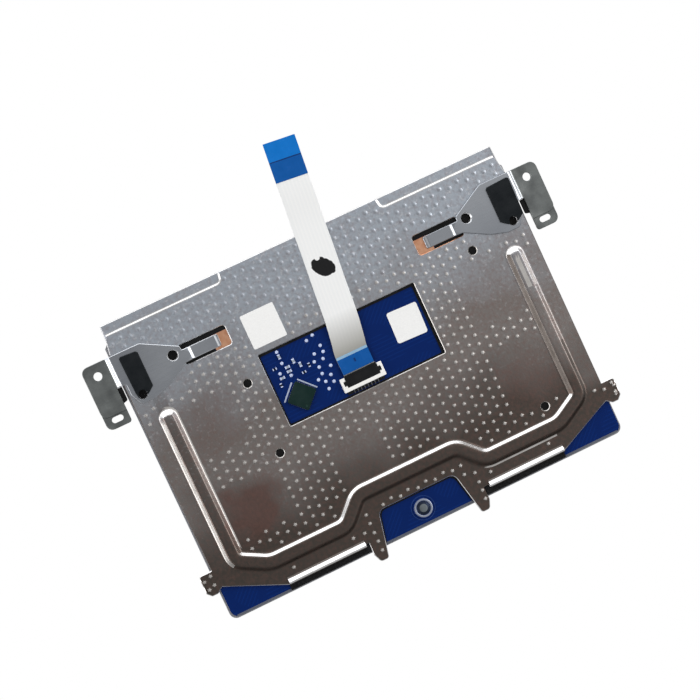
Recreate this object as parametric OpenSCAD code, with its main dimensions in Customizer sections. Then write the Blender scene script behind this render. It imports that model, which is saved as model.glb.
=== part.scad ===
// Trackpad module: touch plate and circuit board on a stamped base bracket, which hangs on
// two spring arms with screw ears, with a flat ribbon cable in a flip-lock socket.
// The touch surface faces up and the cable leaves at the rear. Places along the depth are
// counted from the front edge of the touch plate, and places across from the middle.

/* [Touch plate] */
// Width of the touch plate
pad_w = 117; // [113:0.5:124]
// Depth of the touch plate, front to rear
pad_d = 81; // [80:0.5:88]
// Thickness of the touch plate
touch_t = 1; // [0.7:0.1:1.5]
// Radius of the two front corners
front_corner_r = 2; // [1:0.5:3]
// Cut across the two rear corners
rear_corner_cut = 2; // [1:0.5:3]

/* [Board and films] */
// Thickness of the circuit board
board_t = 0.8; // [0.6:0.1:1.6]
// Thickness of the tape between the bracket and the board
tape_t = 0.2; // [0.1:0.05:0.3]
// Thickness of the adhesive film under the touch plate
glue_t = 0.1; // [0.05:0.05:0.2]
// Edge of the touch plate that stands past the board all round
board_inset = 0.5; // [0.3:0.1:1]
// Margin that the tape and the film keep from the edges of what they join
film_margin = 0.6; // [0.4:0.1:1.2]

/* [Base bracket] */
// Thickness of the sheet metal in the bracket
sheet_t = 0.5; // [0.4:0.05:0.7]
// Edge of the touch plate that stands past the sides of the bracket
bracket_inset = 0.4; // [0.2:0.1:1]
// Reach of the rear flange past the touch plate
flange_reach = 4; // [3.6:0.1:6]
// Amount by which each side of the flange is set in from the bracket
flange_inset = 0.8; // [0.4:0.1:2]
// Depth of the two stepped lips on the flange
lip_d = 2.8; // [2:0.1:3.4]
// Height of the step into the lips
lip_step = 0.3; // [0.2:0.05:0.4]
// Distance from the middle to the inner end of each lip
lip_from = 23.5; // [18:0.5:30]
// Radius of the four tooling holes
tooling_r = 1.15; // [0.8:0.05:1.4]

/* [Window and notch] */
// Width of the window over the board
window_w = 46; // [44:0.5:50]
// Depth of the window
window_d = 20.6; // [20:0.1:24]
// Distance from the front edge to the window
window_y = 40; // [38:0.5:42]
// Width of the front notch at its rear edge
notch_w = 22.4; // [18:0.2:24]
// Depth of the front notch
notch_d = 9.6; // [8.5:0.1:10.5]
// Slant of each side of the notch
notch_slant = 2.1; // [1:0.1:2.4]
// Reach of the two front tabs past the touch plate
tab_reach = 3; // [2:0.1:4]
// Width of each front tab
tab_w = 3.8; // [3:0.1:4.2]
// Reach of the side tabs past the bracket
side_tab_reach = 3.7; // [2:0.1:5]
// Length of the side tabs
side_tab_len = 6.2; // [5:0.1:8]
// Distance from the front edge to the side tabs
side_tab_y = 8.3; // [8:0.1:8.5]

/* [Ribs and front lips] */
// Height of the ribs and the clearance that they give under the sheet
rib_h = 1.2; // [1.2:0.05:1.6]
// Width of the rib at its foot
rib_w = 4.8; // [4.4:0.1:5.4]
// Width of the rib at its crest
crest_w = 2.6; // [2.2:0.1:3]
// Distance from the side of the bracket to the middle of the side rib
rib_side = 6.9; // [6:0.1:8]
// Distance from the hinge line of the arms to the rear end of the side ribs
rib_gap = 10.6; // [9.8:0.1:18]
// Middle of the front rib
rib_front_y = 9.7; // [9:0.1:10]
// Middle of the front rib behind the notch
rib_jog_y = 15.9; // [15:0.1:18]
// Diameter of the rolled front lips
bead_d = 2.1; // [1.6:0.1:2.2]
// Distance from the front edge to the rolled lips
bead_y = 2.2; // [2:0.1:2.4]
// Distance from the side of the bracket to the outer end of the rolled lips
bead_end = 17.1; // [17:0.1:20]
// Thickness of the foam in front of the rolled lips
front_foam_t = 0.6; // [0.4:0.1:0.7]

/* [Spring arms] */
// Distance from the rear edge of the touch plate to the hinge line of the arms
hinge_back = 12.2; // [11.5:0.1:13]
// Thickness of the spring steel
spring_t = 0.5; // [0.4:0.05:0.5]
// Gap between the arm and the bracket
arm_gap = 0.1; // [0.1:0.05:0.15]
// Depth of the arm at its wide end
arm_w = 14.8; // [13:0.2:16]
// Distance from the side of the bracket to the narrow end of the arm
arm_reach = 17.5; // [16:0.1:19]
// Length of the tongue in the slot
tongue_len = 10.3; // [9:0.1:12]
// Width of the tongue
tongue_w = 3.4; // [2.6:0.1:4]
// Width of the slot round the tongue
slot_w = 5.5; // [5:0.1:6.5]
// Radius of the round hole at the narrow end of the arm
arm_hole_r = 1.45; // [1:0.05:1.7]
// Width of the gap between the bracket and the ear
ear_gap = 1.8; // [1.5:0.1:3]
// Height of the ear over the arm
ear_rise = 1; // [0.8:0.1:1.2]
// Length of the ear
ear_len = 14.4; // [14:0.1:15]
// Length of the slope between the arm and the ear
joggle_len = 8.3; // [7:0.1:9]
// Width of the ear
ear_w = 6.9; // [6:0.1:9]
// Radius of the outer corners of the ear
ear_r = 1.8; // [1:0.1:2.5]
// Thickness of the shim on the ear
shim_t = 0.5; // [0.3:0.1:0.8]
// Length of the shim
shim_len = 17.8; // [17:0.1:20]
// Radius of the screw hole in the ear
screw_r = 1.15; // [0.9:0.05:1.6]
// Distance from the rear end of the ear to the screw hole
screw_edge = 3.4; // [2.8:0.1:4]
// Distance between the screw hole and the locating slot
screw_pitch = 12.2; // [12:0.1:13]
// Length of the locating slot
locating_len = 3.2; // [2.4:0.1:3.6]
// Width of the locating slot
locating_w = 1.6; // [1.2:0.1:1.8]
// Thickness of the rubber pads under the arms
rubber_t = 0.55; // [0.3:0.05:0.6]
// Width of the rubber pads
rubber_w = 5.3; // [4.5:0.1:5.6]

/* [Foam strip] */
// Width of the rear foam strip, front to rear
foam_w = 3.1; // [2:0.1:3.3]
// Height of the rear foam strip over the flange
foam_t = 1.2; // [0.8:0.1:1.6]

/* [Chip and labels] */
// Side of the controller chip
chip_w = 6; // [4:0.5:6.5]
// Thickness of the controller chip
chip_t = 0.75; // [0.5:0.05:0.9]
// Length of the small parts round the chip
small_part_len = 1; // [0.6:0.1:1.1]
// Side of the label on the bracket
bracket_label_w = 9.6; // [6:0.1:10]
// Side of the label on the board
board_label_w = 8.7; // [6:0.1:9.5]
// Height of the capacitors
capacitor_h = 0.5; // [0.3:0.05:0.6]
// Height of the resistors
resistor_h = 0.35; // [0.2:0.05:0.45]
// Thickness of both labels
label_t = 0.1; // [0.05:0.05:0.15]

/* [Cable socket] */
// Number of conductors in the cable
conductors = 8; // [4:1:8]
// Distance between two conductors
conductor_pitch = 1; // [0.5:0.05:1.05]
// Width of each side post of the socket past the latch
post_w = 1.3; // [1:0.1:1.6]
// Height of the socket under the board
socket_h = 1.2; // [1.15:0.05:1.3]
// Distance from the front of the window to the socket
socket_gap = 1.6; // [1.4:0.1:3]
// Depth of the socket
socket_d = 3.9; // [3.4:0.1:5]
// Depth of the wall in front of the latch
socket_wall = 1.6; // [1.2:0.1:1.8]
// Depth of the latch
latch_d = 2.6; // [2:0.1:3]
// Thickness of the latch
latch_t = 0.35; // [0.3:0.01:0.37]

/* [Ribbon cable] */
// Thickness of the ribbon cable
cable_t = 0.3; // [0.2:0.02:0.3]
// Thickness of the blue stiffeners
stiffener_t = 0.1; // [0.05:0.01:0.12]
// Length of the stiffener at the loose end
far_stiffener_len = 10.9; // [6:0.1:11]
// Length of the bare conductors at the loose end
contact_len = 4; // [2:0.1:6]

/* [Click switch] */
// Radius of the switch
switch_r = 2.7; // [2.2:0.1:3.5]
// Height of the switch body under the board
switch_h = 0.6; // [0.5:0.05:0.7]
// Radius of the moving dome
dome_r = 1.8; // [1.2:0.1:1.9]
// Height of the dome under the switch body
dome_rise = 0.2; // [0.1:0.05:0.25]
// Distance from the front edge to the middle of the switch
switch_y = 5; // [4:0.1:5.4]

/* [Hidden] */
$fn = 48;

// Levels of the stack, from the rib crests on the rest plane up to the touch surface
sheet_z = rib_h;
sheet_top = sheet_z + sheet_t;
board_z = sheet_top + tape_t;
board_top = board_z + board_t;
touch_z = board_top + glue_t;
arm_z = sheet_z - arm_gap - spring_t;
ear_z = arm_z + ear_rise;
shim_z = ear_z + spring_t;

// Plan sizes that follow from the driving ones
edge_x = pad_w / 2 - bracket_inset;
flange_y = pad_d + flange_reach;
flange_x = edge_x - flange_inset;
middle_y = (flange_y - tab_reach) / 2;
overlap = 0.05;
seat_gap = 0.3;

// Corner radii of the stamped and cut sheets
tight_r = 0.2;
small_r = 0.4;
corner_r = 0.8;
wide_r = 2;

// Notch, front tabs and front lips
notch_x = notch_w / 2;
tab_in = notch_x + notch_slant;
tab_out = tab_in + tab_w;
tab_draft = 0.3;
relief_w = 1.6;
relief_y = bead_y + 0.7;
bead_from = tab_out + relief_w;
bead_to = edge_x - bead_end;
bead_gap = 0.2;
side_tab_slant = 1.2;

// Hinge line of the arms
hinge_y = pad_d - hinge_back;

// Rib path on one side, from its rear end to the middle of the front rib
flank = (rib_w - crest_w) / 2;
wall_shift = sheet_t * sqrt(1 + pow(flank / rib_h, 2));
rib_corner_w = 8.2;
rib_corner_d = 4.5;
rib_jog_x = tab_out - 2.5;
rib_path_half = [
    [edge_x - rib_side, hinge_y - rib_gap],
    [edge_x - rib_side, rib_front_y + rib_corner_d],
    [edge_x - rib_side - rib_corner_w, rib_front_y],
    [rib_jog_x + rib_jog_y - rib_front_y, rib_front_y],
    [rib_jog_x, rib_jog_y]];

// Spring arm and tongue
arm_tip = edge_x - arm_reach;
tongue_tip = arm_tip - tongue_len;
arm_rear = hinge_y + arm_w * 0.54;
arm_front = arm_rear - arm_w;
joggle_y = arm_rear - joggle_len;
joggle_lap = 0.5;
arm_hole_x = arm_tip + 2.6;
arm_hole_y = hinge_y + 1.4;
slot_from = tongue_tip - 2.7;
slot_to = arm_tip + seat_gap;
slot_y = hinge_y + 0.3;
// Length of the opening in the tape past the end of the tongue
tape_open = 2.1;
// How much smaller the bracket's holes are than the holes of the arm over them
hole_ledge = 0.15;
copper_w = 4.2;
copper_t = 0.05;
tongue_z = sheet_z - spring_t / 2 + 0.2;
tongue_end_z = board_z - copper_t - overlap - spring_t;

// Front edge of the arm: distance from the side of the bracket, distance from the front
// of the arm, corner radius
arm_edge = [[10.6, 1.4, 3], [6, 0, 2], [2.2, 0, 2], [0.7, 3.3, 1]];
arm_shoulder = 8.1;

// Height profile of the tongue: distance from the narrow end of the arm, level
tongue_run = [
    [arm_tip + 1, arm_z],
    [arm_tip - 1.7, arm_z],
    [arm_tip - 2.4, tongue_z],
    [tongue_tip + 1.1, tongue_z],
    [tongue_tip + 0.6, tongue_end_z],
    [tongue_tip, tongue_end_z]];

// Ear, shim and rubber pad
ear_in = edge_x + ear_gap;
ear_out = ear_in + ear_w;
shim_inset = 0.1;
hole_x = (ear_in + ear_out) / 2 - 0.15;
hole_y = arm_rear - screw_edge;
locating_y = hole_y - screw_pitch;
locating_x = (locating_len - locating_w) / 2;
rivet_r = 1.3;
rivet_x = edge_x - 3.5;
rivet_y = arm_front + 2.3;
rubber_x = edge_x - 7.1;
rubber_rear = arm_rear - 1.2;
rubber_lean = 0.3;

// Cable socket and latch
socket_y = window_y + socket_gap;
wall_y = socket_y + socket_wall;
cable_w = (conductors + 1) * conductor_pitch;
latch_gap = 0.1;
latch_x = cable_w / 2 + 0.2;
latch_y = wall_y + latch_gap;
socket_x = latch_x + latch_gap + post_w;
latch_z = board_z - socket_h;
pivot_r = 0.15;
pivot_len = 0.5;
pivot_y = latch_y + 0.26;
pivot_z = latch_z + latch_t / 2;
tail_w = 0.4;
tail_len = 1.1;
tail_t = 0.25;

// Levels of the cable: in the socket, under the flange and at the loose end
socket_level = board_z - 0.45;
under_level = sheet_z - cable_t / 2 - arm_gap;
loose_level = 0.4;
floor_t = board_z - socket_level - cable_t / 2 - overlap;

// Route of the ribbon cable, its middle line from the socket to the loose end:
// place across, distance from the wall of the socket, level
cable_steps = [
    [0, 0, socket_level],
    [0, 3.8, socket_level],
    [0, 7.8, socket_level],
    [-0.5, 10.8, under_level + 0.35],
    [-1.1, 14.8, under_level + 0.1],
    [-1.6, 18.8, under_level],
    [-2.1, 24.8, under_level],
    [-2.7, 30.8, under_level],
    [-3.3, 36.8, under_level],
    [-3.8, 42.8, under_level],
    [-4.2, 46.8, loose_level + 0.4],
    [-4.6, 50.8, loose_level + 0.15],
    [-4.9, 54.8, loose_level],
    [-5.3, 58.8, loose_level],
    [-5.7, 62.8, loose_level],
    [-6.1, 66.8, loose_level]];
cable_route = [for (p = cable_steps) p + [0, wall_y, 0]];
loose_end = cable_route[len(cable_route) - 1];
lean = atan(0.1);
near_stiffener_lap = 0.9;
contact_share = 0.6;

// Small parts round the chip: distance from the right side of the window, distance from
// its front, turn
chip_at = [-6.2, 6, 45];
capacitors_at = [[-5, 18, 90], [-3.1, 13, 0], [-5.7, 15.2, 0], [-5.7, 13.8, 0],
    [-8, 15.6, 90], [-9.4, 14.2, 90]];
resistors_at = [[-2.4, 10.8, 90], [-9.4, 11.4, 0], [-11.4, 12.6, 90], [-2.6, 15.4, 0]];
bracket_label_at = [-4.7, window_d + 6.5, 0];

// Label in the window: distance from the left side of the window, from its front, turn
board_label_at = [6, 11.6, 2];

// Holes through the bracket for the press tool: place across, place from the front edge
tooling_at = [[28.5, 55.1], [28.5, 34.8], [-41.2, hinge_y - 7.2], [-41.5, 15.4]];

// Click switch
cavity_roof = 0.1;
dome_gap = 0.08;
dome_h = dome_rise + 0.25;

// Unit vector along v
function unit(v) = v / norm(v);

// Points of one rounded corner at b, between its neighbours a and c
function corner(a, b, c, steps = 6) =
    let (
        p = [b[0], b[1]],
        u = unit([a[0], a[1]] - p),
        v = unit([c[0], c[1]] - p),
        half = acos(u * v) / 2,
        centre = p + unit(u + v) * b[2] / sin(half),
        from = p + u * b[2] / tan(half) - centre,
        turn = (cross(u, v) > 0 ? -1 : 1) * (180 - 2 * half)
    )
    b[2] == 0 ? [p] : [for (i = [0:steps])
        let (t = turn * i / steps)
        centre + [from[0] * cos(t) - from[1] * sin(t), from[0] * sin(t) + from[1] * cos(t)]];

// Outline with rounded corners from a list of [x, y, radius]
function rounded(points) =
    let (n = len(points))
    [for (i = [0:n - 1])
        each corner(points[(i + n - 1) % n], points[i], points[(i + 1) % n])];

// The same points on the other side, in the opposite order
function mirrored(points) =
    [for (i = [len(points) - 1:-1:0]) [-points[i][0], points[i][1], points[i][2]]];

// Both halves of a symmetrical outline
function both(points) = concat(points, mirrored(points));

// Corners of a rectangle with one corner radius
function box_points(x0, y0, x1, y1, r = 0) = [[x0, y0, r], [x1, y0, r], [x1, y1, r], [x0, y1, r]];

// Outline of the bracket on one side, from the notch to the flange
function bracket_half() = [
    [notch_x, notch_d, wide_r],
    [tab_in, 0, small_r],
    [tab_in + tab_draft, -tab_reach, corner_r],
    [tab_out - tab_draft, -tab_reach, corner_r],
    [tab_out, 0, small_r],
    [tab_out, relief_y, tight_r],
    [bead_from, relief_y, tight_r],
    [bead_from, bead_y, 0],
    [bead_to, bead_y, 0],
    [edge_x - corner_r, side_tab_y + side_tab_slant, tight_r],
    [edge_x + corner_r, side_tab_y, small_r],
    [edge_x + side_tab_reach - side_tab_slant, side_tab_y, small_r],
    [edge_x + side_tab_reach, side_tab_y + side_tab_slant, small_r],
    [edge_x + side_tab_reach, side_tab_y + side_tab_len, corner_r],
    [edge_x, side_tab_y + side_tab_len, tight_r],
    [edge_x, pad_d - rear_corner_cut - flange_inset, corner_r],
    [flange_x, pad_d - flange_inset, corner_r],
    [flange_x, flange_y, small_r]];

// Outline of the touch plate, or of a layer drawn in from its edge
function pad_points(inset) =
    let (x = pad_w / 2 - inset, y = pad_d - inset)
    both([
        [x, inset, front_corner_r],
        [x, y - rear_corner_cut, 0],
        [x - rear_corner_cut, y, 0]]);

// Rings of a ridge along the rib path: half widths and levels at foot and crest
function rib_rings(foot, crest, z_foot, z_crest, draw_in, taper) =
    let (
        half = rib_path_half,
        path = concat(half, [for (i = [len(half) - 1:-1:0]) [-half[i][0], half[i][1]]]),
        n = len(path)
    )
    [for (i = [0:n - 1])
        let (
            back = i == 0 ? unit(path[1] - path[0]) : unit(path[i] - path[i - 1]),
            ahead = i == n - 1 ? back : unit(path[i + 1] - path[i]),
            across = unit([-(back + ahead)[1], (back + ahead)[0]]),
            side = across / (across * [-ahead[1], ahead[0]]),
            end = i == 0 ? 1 : i == n - 1 ? -1 : 0,
            at_foot = path[i] + ahead * draw_in * end,
            at_crest = path[i] + ahead * (draw_in + taper) * end,
            a = at_foot + side * foot,
            b = at_crest + side * crest,
            c = at_crest - side * crest,
            d = at_foot - side * foot
        )
        [[d[0], d[1], z_foot], [c[0], c[1], z_crest], [b[0], b[1], z_crest], [a[0], a[1], z_foot]]];

// Cross-section of the flat cable: across, up
function cable_section() =
    let (x = cable_w / 2, z = cable_t / 2, c = cable_t / 4)
    [[-x, -c], [-x, c], [c - x, z], [x - c, z], [x, c], [x, -c], [x - c, -z], [c - x, -z]];

// Rings of the cable, level across and square to its route
function cable_rings() =
    let (n = len(cable_route))
    [for (i = [0:n - 1])
        let (
            ahead = unit(cable_route[min(i + 1, n - 1)] - cable_route[max(i - 1, 0)]),
            side = unit(cross(ahead, [0, 0, 1])),
            up = cross(side, ahead)
        )
        [for (p = cable_section()) cable_route[i] + side * p[0] + up * p[1]]];

// One closed solid through a row of rings
module swept(rings) {
    m = len(rings[0]);
    n = len(rings);
    polyhedron(
        points = [for (r = rings) each r],
        faces = concat(
            [[for (k = [0:m - 1]) k]],
            [[for (k = [m - 1:-1:0]) (n - 1) * m + k]],
            [for (i = [0:n - 2]) for (k = [0:m - 1])
                [i * m + k, (i + 1) * m + k, (i + 1) * m + (k + 1) % m, i * m + (k + 1) % m]]),
        convexity = 6);
}

// Everything is built from the front edge and moved so that its plan is centred
module placed() {
    translate([0, -middle_y, 0]) children();
}

// Flat plate with a rounded outline between two levels
module plate(points, z0, z1) {
    translate([0, 0, z0]) linear_extrude(z1 - z0) polygon(rounded(points));
}

// Straight hole through everything at one place
module drill(x, y, r) {
    translate([x, y, -1]) cylinder(h = touch_z + 2, r = r);
}

// Block on the underside of the board at [distance from one side of the window, distance
// from its front, turn]
module on_board(at, length, width, height, side = 1) {
    translate([side * window_w / 2 + at[0], window_y + at[1], board_z - height / 2])
        rotate([0, 0, at[2]]) cube([length, width, height], center = true);
}

// Slot round the tongue on the right side
module tongue_slot() {
    plate(box_points(slot_from, slot_y - slot_w / 2, slot_to, slot_y + slot_w / 2, corner_r),
        -1, touch_z);
}

// The same thing on both sides
module both_sides() {
    children();
    mirror([1, 0, 0]) children();
}

module touch_plate() {
    color("#c9c7ca") placed() plate(pad_points(0), touch_z, touch_z + touch_t);
}

module touch_adhesive() {
    color("#d8d2b8") placed() plate(pad_points(board_inset + film_margin), board_top, touch_z);
}

module circuit_board() {
    color("#0b2a6b") placed() plate(pad_points(board_inset), board_z, board_top);
}

// Window and notch cut, larger by a margin
module board_cuts(margin) {
    plate(box_points(-window_w / 2 - margin, window_y - margin,
        window_w / 2 + margin, window_y + window_d + margin, small_r), -1, touch_z);
    plate(box_points(-tab_out - margin, -tab_reach, tab_out + margin, notch_d + margin, corner_r),
        -1, touch_z);
}

module board_tape() {
    x = pad_w / 2 - board_inset - film_margin;
    y = pad_d - board_inset - film_margin;
    points = both([
        [bead_to, bead_y + film_margin, 0],
        [x, side_tab_y + 2 * side_tab_slant, 0],
        [x, y - rear_corner_cut, 0],
        [x - rear_corner_cut, y, 0]]);
    color("#141414") placed() difference() {
        plate(points, sheet_top, board_z);
        board_cuts(film_margin);
        both_sides() plate(box_points(slot_from - film_margin,
            slot_y - slot_w / 2 - film_margin, tongue_tip + tape_open,
            slot_y + slot_w / 2 + film_margin, corner_r), -1, touch_z);
    }
}

// Stepped lip of the flange on the right side
module flange_lip() {
    plate(box_points(lip_from, flange_y - lip_d, flange_x, flange_y, small_r),
        sheet_z + lip_step, sheet_top + lip_step);
}

module base_bracket() {
    color("#8e9296") placed() difference() {
        union() {
            difference() {
                plate(both(bracket_half()), sheet_z, sheet_top);
                both_sides() plate(box_points(lip_from + overlap, flange_y - lip_d + overlap,
                    flange_x + flange_inset, flange_y + 1), 0, sheet_z + lip_step);
            }
            both_sides() flange_lip();
            swept(rib_rings(rib_w / 2, crest_w / 2, sheet_z + overlap, 0, 0, flank));
            both_sides() rolled_lip();
        }
        swept(rib_rings(rib_w / 2 - wall_shift + flank * sheet_t / rib_h + overlap,
            crest_w / 2 - wall_shift + flank * sheet_t / rib_h, sheet_top + overlap, sheet_t,
            sheet_t, flank));
        plate(box_points(-window_w / 2, window_y, window_w / 2, window_y + window_d, small_r),
            -1, touch_z);
        both_sides() {
            tongue_slot();
            drill(arm_hole_x, arm_hole_y, arm_hole_r - hole_ledge);
            drill(rivet_x, rivet_y, rivet_r - hole_ledge);
        }
        for (p = tooling_at) drill(p[0], p[1], tooling_r);
    }
}

// Rolled front lip of the right side, flat on top where it meets the sheet
module rolled_lip() {
    translate([bead_from + bead_gap, bead_y + bead_d / 2, sheet_z + overlap])
        rotate([0, 90, 0]) difference() {
            cylinder(h = bead_to - bead_from - bead_gap, d = bead_d);
            translate([-bead_d - sheet_t / 2, -bead_d, -1]) cube([bead_d, 2 * bead_d, bead_to]);
        }
}

module rear_foam_strip() {
    y = pad_d + seat_gap;
    color("#121212") placed() difference() {
        plate(box_points(seat_gap - flange_x, y, flange_x - seat_gap, y + foam_w, tight_r),
            sheet_top, sheet_top + foam_t);
        both_sides() plate(box_points(lip_from, flange_y - lip_d, flange_x + 1, flange_y),
            0, sheet_top + lip_step);
    }
}

// Foam on the board in front of the right rolled lip
module front_foam() {
    plate(box_points(bead_from, board_inset, bead_to, bead_y, tight_r),
        board_z - front_foam_t, board_z);
}

module front_right_foam() {
    color("#121212") placed() front_foam();
}

module front_left_foam() {
    color("#121212") placed() mirror([1, 0, 0]) front_foam();
}

// Arm, tongue, joggle and ear of the right side in one stamping
module hinge_bracket() {
    difference() {
        union() {
            plate([
                [arm_tip, hinge_y - tongue_w / 2 - overlap, corner_r],
                for (p = arm_edge) [edge_x - p[0], arm_front + p[1], p[2]],
                [edge_x - arm_edge[3][0], joggle_y, tight_r],
                [edge_x + joggle_lap, joggle_y, 0],
                [edge_x + joggle_lap, arm_rear, 0],
                [edge_x - arm_shoulder, arm_rear, wide_r],
                [arm_tip, arm_hole_y + arm_hole_r, corner_r]], arm_z, arm_z + spring_t);
            tongue();
            joggle();
            plate([
                [ear_in, arm_rear - ear_len, tight_r],
                [ear_out, arm_rear - ear_len, ear_r],
                [ear_out, arm_rear, ear_r],
                [ear_in, arm_rear, 0]], ear_z, ear_z + spring_t);
        }
        drill(arm_hole_x, arm_hole_y, arm_hole_r);
        drill(rivet_x, rivet_y, rivet_r);
        drill(hole_x, hole_y, screw_r);
    }
}

// Bent strip of spring steel: its height profile and its depth from y0 to y1
module bent_strip(run, y0, y1) {
    points = concat(run, [for (i = [len(run) - 1:-1:0]) run[i] + [0, spring_t]]);
    translate([0, y1, 0]) rotate([90, 0, 0]) linear_extrude(y1 - y0) polygon(points);
}

// Tongue of the right arm: stepped up into the slot and up again under the copper pad
module tongue() {
    bent_strip(tongue_run, hinge_y - tongue_w / 2, hinge_y + tongue_w / 2);
}

// Sloping wall between the right arm and its ear
module joggle() {
    bent_strip([
        [edge_x - joggle_lap, arm_z],
        [edge_x + joggle_lap, arm_z],
        [ear_in, ear_z],
        [ear_in + joggle_lap, ear_z]], joggle_y, arm_rear);
}

module right_hinge_bracket() {
    color("#a4a8aa") placed() hinge_bracket();
}

module left_hinge_bracket() {
    color("#a4a8aa") placed() mirror([1, 0, 0]) hinge_bracket();
}

// Second layer on the right ear, with the screw hole and the locating slot
module ear_shim() {
    difference() {
        plate([
            [ear_in + shim_inset, arm_rear - shim_len, corner_r],
            [ear_out - shim_inset, arm_rear - shim_len, ear_r],
            [ear_out - shim_inset, arm_rear, ear_r],
            [ear_in + shim_inset, arm_rear, 0]], shim_z, shim_z + shim_t);
        drill(hole_x, hole_y, screw_r);
        for (side = [-1, 1]) drill(hole_x + side * locating_x, locating_y, locating_w / 2);
        translate([hole_x - locating_x, locating_y - locating_w / 2, 0])
            cube([2 * locating_x, locating_w, touch_z]);
    }
}

module right_ear_shim() {
    color("#2a2b2c") placed() ear_shim();
}

module left_ear_shim() {
    color("#2a2b2c") placed() mirror([1, 0, 0]) ear_shim();
}

// Rubber pad under the right arm, cut round the hole at its front end
module bumper_pad() {
    difference() {
        plate([
            [rubber_x + rubber_lean, rivet_y, tight_r],
            [rubber_x + rubber_w, rivet_y + rivet_r, tight_r],
            [rubber_x + rubber_w, rubber_rear, tight_r],
            [rubber_x, rubber_rear - rubber_lean, tight_r]], arm_z - rubber_t, arm_z);
        drill(rivet_x, rivet_y, rivet_r + overlap);
    }
}

module right_bumper_pad() {
    color("#15181b") placed() bumper_pad();
}

module left_bumper_pad() {
    color("#15181b") placed() mirror([1, 0, 0]) bumper_pad();
}

// Copper pad on the board over the end of the right tongue
module ground_pad() {
    plate(box_points(slot_from + tight_r, hinge_y - copper_w / 2,
        tongue_tip + seat_gap, hinge_y + copper_w / 2, small_r), board_z - copper_t, board_z);
}

module right_ground_pad() {
    color("#d9a173") placed() ground_pad();
}

module left_ground_pad() {
    color("#d9a173") placed() mirror([1, 0, 0]) ground_pad();
}

module controller_chip() {
    color("#1d2a20") placed() on_board(chip_at, chip_w, chip_w, chip_t);
}

// Small soldered part of one height
module small_part(at, height) {
    on_board(at, small_part_len, small_part_len / 2, height);
}

module chip_capacitors() {
    color("#b59a77") placed() for (at = capacitors_at) small_part(at, capacitor_h);
}

module chip_resistors() {
    color("#26262a") placed() for (at = resistors_at) small_part(at, resistor_h);
}

module connector_housing() {
    color("#ece7da") placed() difference() {
        union() {
            plate(box_points(-socket_x, socket_y, socket_x, wall_y), latch_z, board_z);
            plate(box_points(-socket_x, socket_y, socket_x, socket_y + socket_d),
                board_z - floor_t, board_z);
            both_sides() plate(box_points(latch_x + latch_gap, socket_y, socket_x,
                socket_y + socket_d, tight_r), latch_z, board_z);
        }
        pivot(pivot_r + overlap, latch_x + pivot_len + latch_gap);
    }
}

// Bar on the hinge line of the latch: radius and reach to each side
module pivot(r, reach) {
    translate([-reach, pivot_y, pivot_z]) rotate([0, 90, 0]) cylinder(h = 2 * reach, r = r);
}

module connector_contacts() {
    color("#c9c4b4") placed() for (i = [0:conductors - 1])
        translate([(i - (conductors - 1) / 2) * conductor_pitch - tail_w / 2,
            socket_y - tail_len, board_z - tail_t]) cube([tail_w, tail_len, tail_t]);
}

// Flip lock with a pin at each end, which turns in the side posts
module connector_latch() {
    color("#17181a") placed() union() {
        plate(box_points(-latch_x, latch_y, latch_x, latch_y + latch_d, latch_gap),
            latch_z, latch_z + latch_t);
        pivot(pivot_r, latch_x + pivot_len);
    }
}

module flex_cable() {
    color("#eceae4") placed() swept(cable_rings());
}

module cable_stiffener_near() {
    color("#1c74c8") placed() plate(box_points(-cable_w / 2, cable_route[1][1] - near_stiffener_lap,
        cable_w / 2, cable_route[2][1]), socket_level - cable_t / 2 - stiffener_t,
        socket_level - cable_t / 2);
}

// Thing on the loose end of the cable, turned with it and drawn back from its end
module at_loose_end() {
    translate(loose_end) rotate([0, 0, lean]) children();
}

module cable_stiffener_far() {
    color("#1c74c8") placed() at_loose_end()
        translate([-cable_w / 2, -far_stiffener_len, -cable_t / 2 - stiffener_t])
            cube([cable_w, far_stiffener_len, stiffener_t]);
}

module cable_contacts() {
    w = conductor_pitch * contact_share;
    color("#c8cacc") placed() at_loose_end() for (i = [0:conductors - 1])
        translate([(i - (conductors - 1) / 2) * conductor_pitch - w / 2, -contact_len, cable_t / 2])
            cube([w, contact_len, overlap]);
}

module switch_base() {
    color("#233a66") placed() translate([0, switch_y, board_z - switch_h]) difference() {
        cylinder(h = switch_h, r = switch_r);
        translate([0, 0, -1]) cylinder(h = 1 + switch_h - cavity_roof, r = dome_r + dome_gap);
    }
}

module switch_dome() {
    color("#b8bcc2") placed() translate([0, switch_y, board_z - switch_h - dome_rise])
        cylinder(h = dome_h, r = dome_r);
}

module bracket_label() {
    color("#f4f4f2") placed() translate([0, 0, sheet_z - board_z])
        on_board(bracket_label_at, bracket_label_w, bracket_label_w, label_t);
}

module board_label() {
    color("#f4f4f2") placed() on_board(board_label_at, board_label_w, board_label_w, label_t, -1);
}

touch_plate();
touch_adhesive();
circuit_board();
board_tape();
base_bracket();
rear_foam_strip();
front_left_foam();
front_right_foam();
left_hinge_bracket();
right_hinge_bracket();
left_ear_shim();
right_ear_shim();
left_bumper_pad();
right_bumper_pad();
left_ground_pad();
right_ground_pad();
controller_chip();
chip_capacitors();
chip_resistors();
connector_housing();
connector_contacts();
connector_latch();
flex_cable();
cable_stiffener_near();
cable_stiffener_far();
cable_contacts();
switch_base();
switch_dome();
bracket_label();
board_label();
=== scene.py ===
"""Looks of the trackpad module: formed sheets, films, foam, socket, cable and click switch."""

import logging
import math
from collections.abc import Callable, Sequence
from dataclasses import dataclass, field
from enum import Enum, IntEnum
from typing import ClassVar

import bpy
import numpy as np
from mathutils import Matrix, Vector
from mathutils.geometry import delaunay_2d_cdt


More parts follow.
